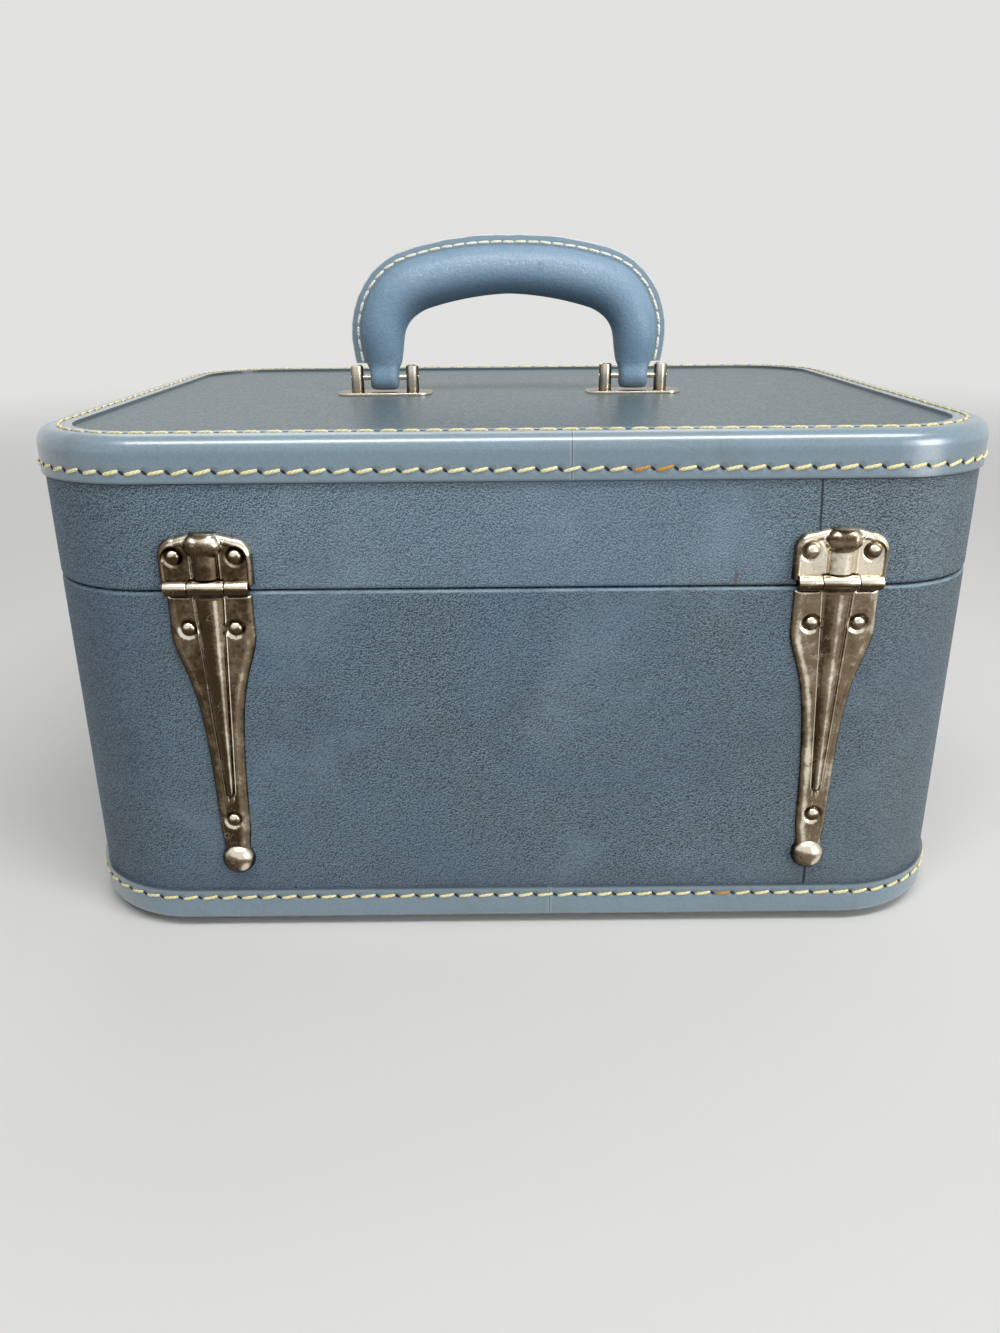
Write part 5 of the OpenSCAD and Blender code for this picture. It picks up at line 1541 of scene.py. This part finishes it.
def bridge_rows(form, barrel_y):
    """The middle knuckle's tongue: it leaves the barrel and flows down into the leaf and its rib."""
    rows = []
    radius = form.barrel / 2
    for step in range(15):
        share = step / 14
        up = -radius * 0.35 - (form.drop + 0.0012 - radius * 0.35) * share
        row = []
        for column in range(41):
            x = form.knuckle / 2 * (column / 20 - 1) * (1 - 0.06 * ease(share, 0.2, 1.0))
            far = abs(x) / (form.rib_w / 2)
            rib = form.rib_h * max(0.0, 1 - far ** 2.4) ** 0.55 if far < 1 else 0.0
            start = barrel_y + radius * 0.92
            end = form.leaf_h + rib - 0.0003 * (far < 1)
            out = end + (start - end) * (1 - ease(share, 0.0, 0.85))
            row.append((x, out, up, 0.0))
        rows.append(row)
    return rows


class CASE_OT_hardware(bpy.types.Operator):
    """Finishes the handle's plates and posts, the latches, the hasps and the feet"""
    bl_idname = "case.hardware"
    bl_label = "Latches, plates and feet"

    def execute(self, context):
        metal = context.scene.case_metal
        bright = worn_metal("Worn nickel", srgb(140, 131, 116), metal.nickel, -0.02, -0.01, 0.13, 0.35, 0.12)
        give(("handle_pins", "feet"), bright)
        polished = plated_metal(context, "Polished nickel", 0.15)
        # Painted highlight bands on the posts and painted highlights round the plates' edges
        store_wear_and_light(smooth_copy("handle_posts", polished, "nickel"), banded)
        for name in ("handle_plate_left", "handle_plate_right"):
            store_wear_and_light(smooth_copy(name, polished, "nickel"), edge_lit)
        front = plated_metal(context, "Latch metal", 0.3)
        for side in ("left", "right"):
            for name, bias in (("latch_plate_", 0.05), ("latch_housing_", 0.36), ("latch_slide_", 0.6),
                               ("hasp_plate_", 0.25), ("hasp_", 0.5)):
                piece = smooth_copy(name + side, front, "nickel")
                # Painted light from the front on each latch part over its level, and painted highlights on
                # its edges
                wear_and_light_by_facing(piece, bias, -1)
                store_wear_and_light(piece, front_lit)
        for name in ("latch_plate_rivets", "hasp_plate_rivets"):
            # Painted light from the front on the rivets
            wear_and_light_by_facing(smooth_copy(name, front, "nickel", 0.0), 0.35, -1)
        give(("hasp_pins",), bright)
        return {"FINISHED"}


def quilt_point(x, y, flat_x, flat_y, corner, thick, tuft):
    """A point of a pad's face; flat_x and flat_y say where the centres of its rounded corners lie."""
    def past():
        return Vector((max(abs(x) - flat_x, 0.0), max(abs(y) - flat_y, 0.0)))

    # Points past a corner's centre are drawn in along their own ray
    over = past()
    if over.length > 0:
        pull = max(over) / over.length
        x = math.copysign(min(abs(x), flat_x) + over.x * pull, x)
        y = math.copysign(min(abs(y), flat_y) + over.y * pull, y)
    edge = corner - past().length
    rim = math.sqrt(min(edge / PAD_ROUND, 1.0)) if edge > 0 else 0.0
    one, two = (abs(math.sin(math.pi * along / tuft / DIAGONAL)) for along in (x + y, x - y))
    return x, y, thick * (0.25 + rim * (0.25 + 0.5 * min(one, two) ** 0.45))


def quilted(context, name, low, high, face, cloth):
    """A thin pad with diamond quilting: a grid laid over the node's outline, puffed between its seams."""
    half_w, half_d = (high.x - low.x) / 2 - PAD_INSET, (high.y - low.y) / 2 - PAD_INSET
    corner = context.scene.case_leather.corner - (HALF_W - half_w)
    form = half_w - corner, half_d - corner, corner, high.z - low.z, context.scene.case_lining.tuft
    deselect()
    bpy.ops.mesh.primitive_grid_add(x_subdivisions=150, y_subdivisions=114, size=2.0)
    piece = bpy.context.object
    for vertex in piece.data.vertices:
        vertex.co = quilt_point(vertex.co.x * half_w, vertex.co.y * half_d, *form)
    bpy.ops.object.mode_set(mode="EDIT")
    bpy.ops.mesh.select_all(action="SELECT")
    bpy.ops.mesh.extrude_region_move()
    bpy.ops.transform.resize(value=(1.0, 1.0, 0.0), center_override=(0.0, 0.0, 0.0))
    face_outwards()
    if face < 0:
        piece.data.transform(Matrix.Rotation(math.pi, 4, "X"))
    seat = Vector((low.x + high.x, low.y + high.y, 0.0)) / 2
    seat.z = low.z if face > 0 else high.z
    piece.data.transform(Matrix.Translation(seat))
    bpy.ops.object.shade_smooth()
    settle(piece, name + "_quilted", NODES[name]["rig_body"], "lining", cloth)
    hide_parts(name)
    return piece


class CASE_OT_lining(bpy.types.Operator):
    """Lines the case in pale satin, quilts its pads and sets the tray and the mirror"""
    bl_idname = "case.lining"
    bl_label = "Lining, tray and mirror"

    def execute(self, context):
        look = context.scene.case_lining
        cloth = satin("Satin lining", look.satin)
        give(("body_lining", "lid_lining", "tray_ledges", "tray_divider"), cloth)
        smooth_copy("tray", cloth, "lining", 0.0006, 2)
        quilted(context, "floor_pad", *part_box("floor_pad"), 1, cloth)
        quilted(context, "lid_pad", *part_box("lid_pad"), -1, cloth)
        smooth_copy("mirror_frame", leather_frame(context), "leatherette", 0.0008)
        give(("mirror_glass",), mirror_material(context))
        return {"FINISHED"}


def leather_frame(context):
    """Leather round the mirror."""
    w = material("Mirror frame leather")
    fine = w.grain(0.0009)
    piping = context.scene.case_lining.piping
    tint = w.mix(fine, times(piping, 0.7), piping)
    return finish(w, tint, 0.5, fine, 0.0001, 0.7)


def lamp(name, place, target, size, power, spread=180.0):
    """Soft square lamp that faces a point; spread is how wide it throws its light, in degrees."""
    deselect()
    bpy.ops.object.light_add(type="AREA", location=place)
    light = bpy.context.object
    light.name = name
    light.data.shape = "RECTANGLE"
    light.data.size, light.data.size_y = size
    light.data.energy = power
    light.data.spread = math.radians(spread)
    light.rotation_euler = (Vector(target) - Vector(place)).to_track_quat("-Z", "Y").to_euler()
    return light


def seen_directly(w):
    """1 where the camera, a reflection or glass looks straight at the surroundings."""
    path = w.node("LightPath").outputs
    mirrored = w.max(path["Is Glossy Ray"], path["Is Transmission Ray"])
    return w.max(path["Is Camera Ray"], mirrored)


def floor_material(context):
    """Plain pale floor that fades into the background far from the case."""
    look = context.scene.case_stage
    w = material("Floor")
    tint = w.mix(w.noise(0.9, 2.0), look.floor, times(look.floor, 0.97))
    floor = finish(w, tint, 0.85)
    x, y, _ = w.xyz()
    away = w.hypot(x, y)
    far = w.mul(w.ramp(away, 0.35, 2.2), seen_directly(w))
    haze = w.node("Emission", {"Color": tuple(look.backdrop) + (1.0,), "Strength": 1.0})
    near = w.tree.nodes["Principled BSDF"]
    both = w.node("MixShader", {0: far, 1: near.outputs[0], 2: haze.outputs[0]})
    w.tree.links.new(both.outputs[0], w.tree.nodes["Material Output"].inputs["Surface"])
    return floor


# Camera that matches the photograph's view: place, turn in degrees, focal length for a 36 mm sensor
CAMERA_PLACE = (0.00584, 0.45374, 0.22915)
CAMERA_TURN = (69.0254, 0.4587, 179.7033)
CAMERA_LENS = 27.525
# Point that the lamps face
MIDDLE = (0.0, 0.0, 0.12)


def surround(context):
    """Sets the soft light that comes from all sides, and the plain background that is seen in its place."""
    look = context.scene.case_stage
    world = bpy.data.worlds.new("Surroundings")
    context.scene.world = world
    world.use_nodes = True
    w = Wiring(world.node_tree)
    world.node_tree.nodes.clear()
    across = w.node("SeparateXYZ", {0: w.node("TexCoord").outputs["Generated"]}).outputs[0]
    strength = w.mul_add(across, -look.fill * look.lean, look.fill)
    lit = w.node("Background", {"Color": (0.97, 0.985, 1.0, 1.0), "Strength": strength})
    shown = w.node("Background", {"Color": tuple(look.backdrop) + (1.0,), "Strength": 1.0})
    both = w.node("MixShader", {0: seen_directly(w), 1: lit.outputs[0], 2: shown.outputs[0]})
    w.node("OutputWorld", {"Surface": both.outputs[0]})


class CASE_OT_stage(bpy.types.Operator):
    """Sets the floor, the lamps, the background and the camera"""
    bl_idname = "case.stage"
    bl_label = "Stage"

    def execute(self, context):
        look = context.scene.case_stage
        deselect()
        bpy.ops.mesh.primitive_plane_add(size=12.0, location=(0.0, 0.0, 0.0))
        floor = bpy.context.object
        floor.name = floor.data.name = "floor"
        floor.data.materials.append(floor_material(context))
        surround(context)
        lamp("strip", (-0.1, 0.62, 1.25), MIDDLE, (1.5, 0.26), look.strip)
        lamp("top", (0.1, -0.9, 1.0), MIDDLE, (1.1, 0.9), look.top)
        lamp("side", (-1.05, 0.95, 0.36), MIDDLE, (0.6, 0.7), look.side, 70.0)

        bpy.ops.object.camera_add(location=CAMERA_PLACE,
                                  rotation=[math.radians(turn) for turn in CAMERA_TURN])
        camera = bpy.context.object
        camera.name = "camera"
        camera.data.lens = CAMERA_LENS
        camera.data.sensor_width = 36.0
        camera.data.clip_start = 0.01
        context.scene.camera = camera
        context.scene.view_settings.view_transform = "Standard"
        return {"FINISHED"}


OPERATORS = (CASE_OT_covering, CASE_OT_stitching, CASE_OT_handle, CASE_OT_hinges, CASE_OT_hardware,
             CASE_OT_lining, CASE_OT_stage)


class CASE_PT_sidebar(bpy.types.Panel):
    """Lists the case's pieces and their settings"""
    bl_label = "Train case"
    bl_idname = "CASE_PT_sidebar"
    bl_space_type = "VIEW_3D"
    bl_region_type = "UI"
    bl_category = "Train case"

    def draw(self, context):
        for operator in OPERATORS:
            self.layout.operator(operator.bl_idname)
        for name, group in SETTINGS.items():
            box = self.layout.box()
            for setting in group.__annotations__:
                box.prop(getattr(context.scene, name), setting)


CLASSES = tuple(SETTINGS.values()) + OPERATORS + (CASE_PT_sidebar,)


def register():
    for item in CLASSES:
        bpy.utils.register_class(item)
    for name, group in SETTINGS.items():
        setattr(bpy.types.Scene, name, bpy.props.PointerProperty(type=group))


def unregister():
    for name in SETTINGS:
        delattr(bpy.types.Scene, name)
    for item in reversed(CLASSES):
        bpy.utils.unregister_class(item)


def main():
    """Dresses the frame, one operator after another."""
    register()
    bpy.ops.case.covering()
    bpy.ops.case.stitching()
    bpy.ops.case.handle()
    bpy.ops.case.hinges()
    bpy.ops.case.hardware()
    bpy.ops.case.lining()
    bpy.ops.case.stage()


if __name__ == "__main__":
    main()
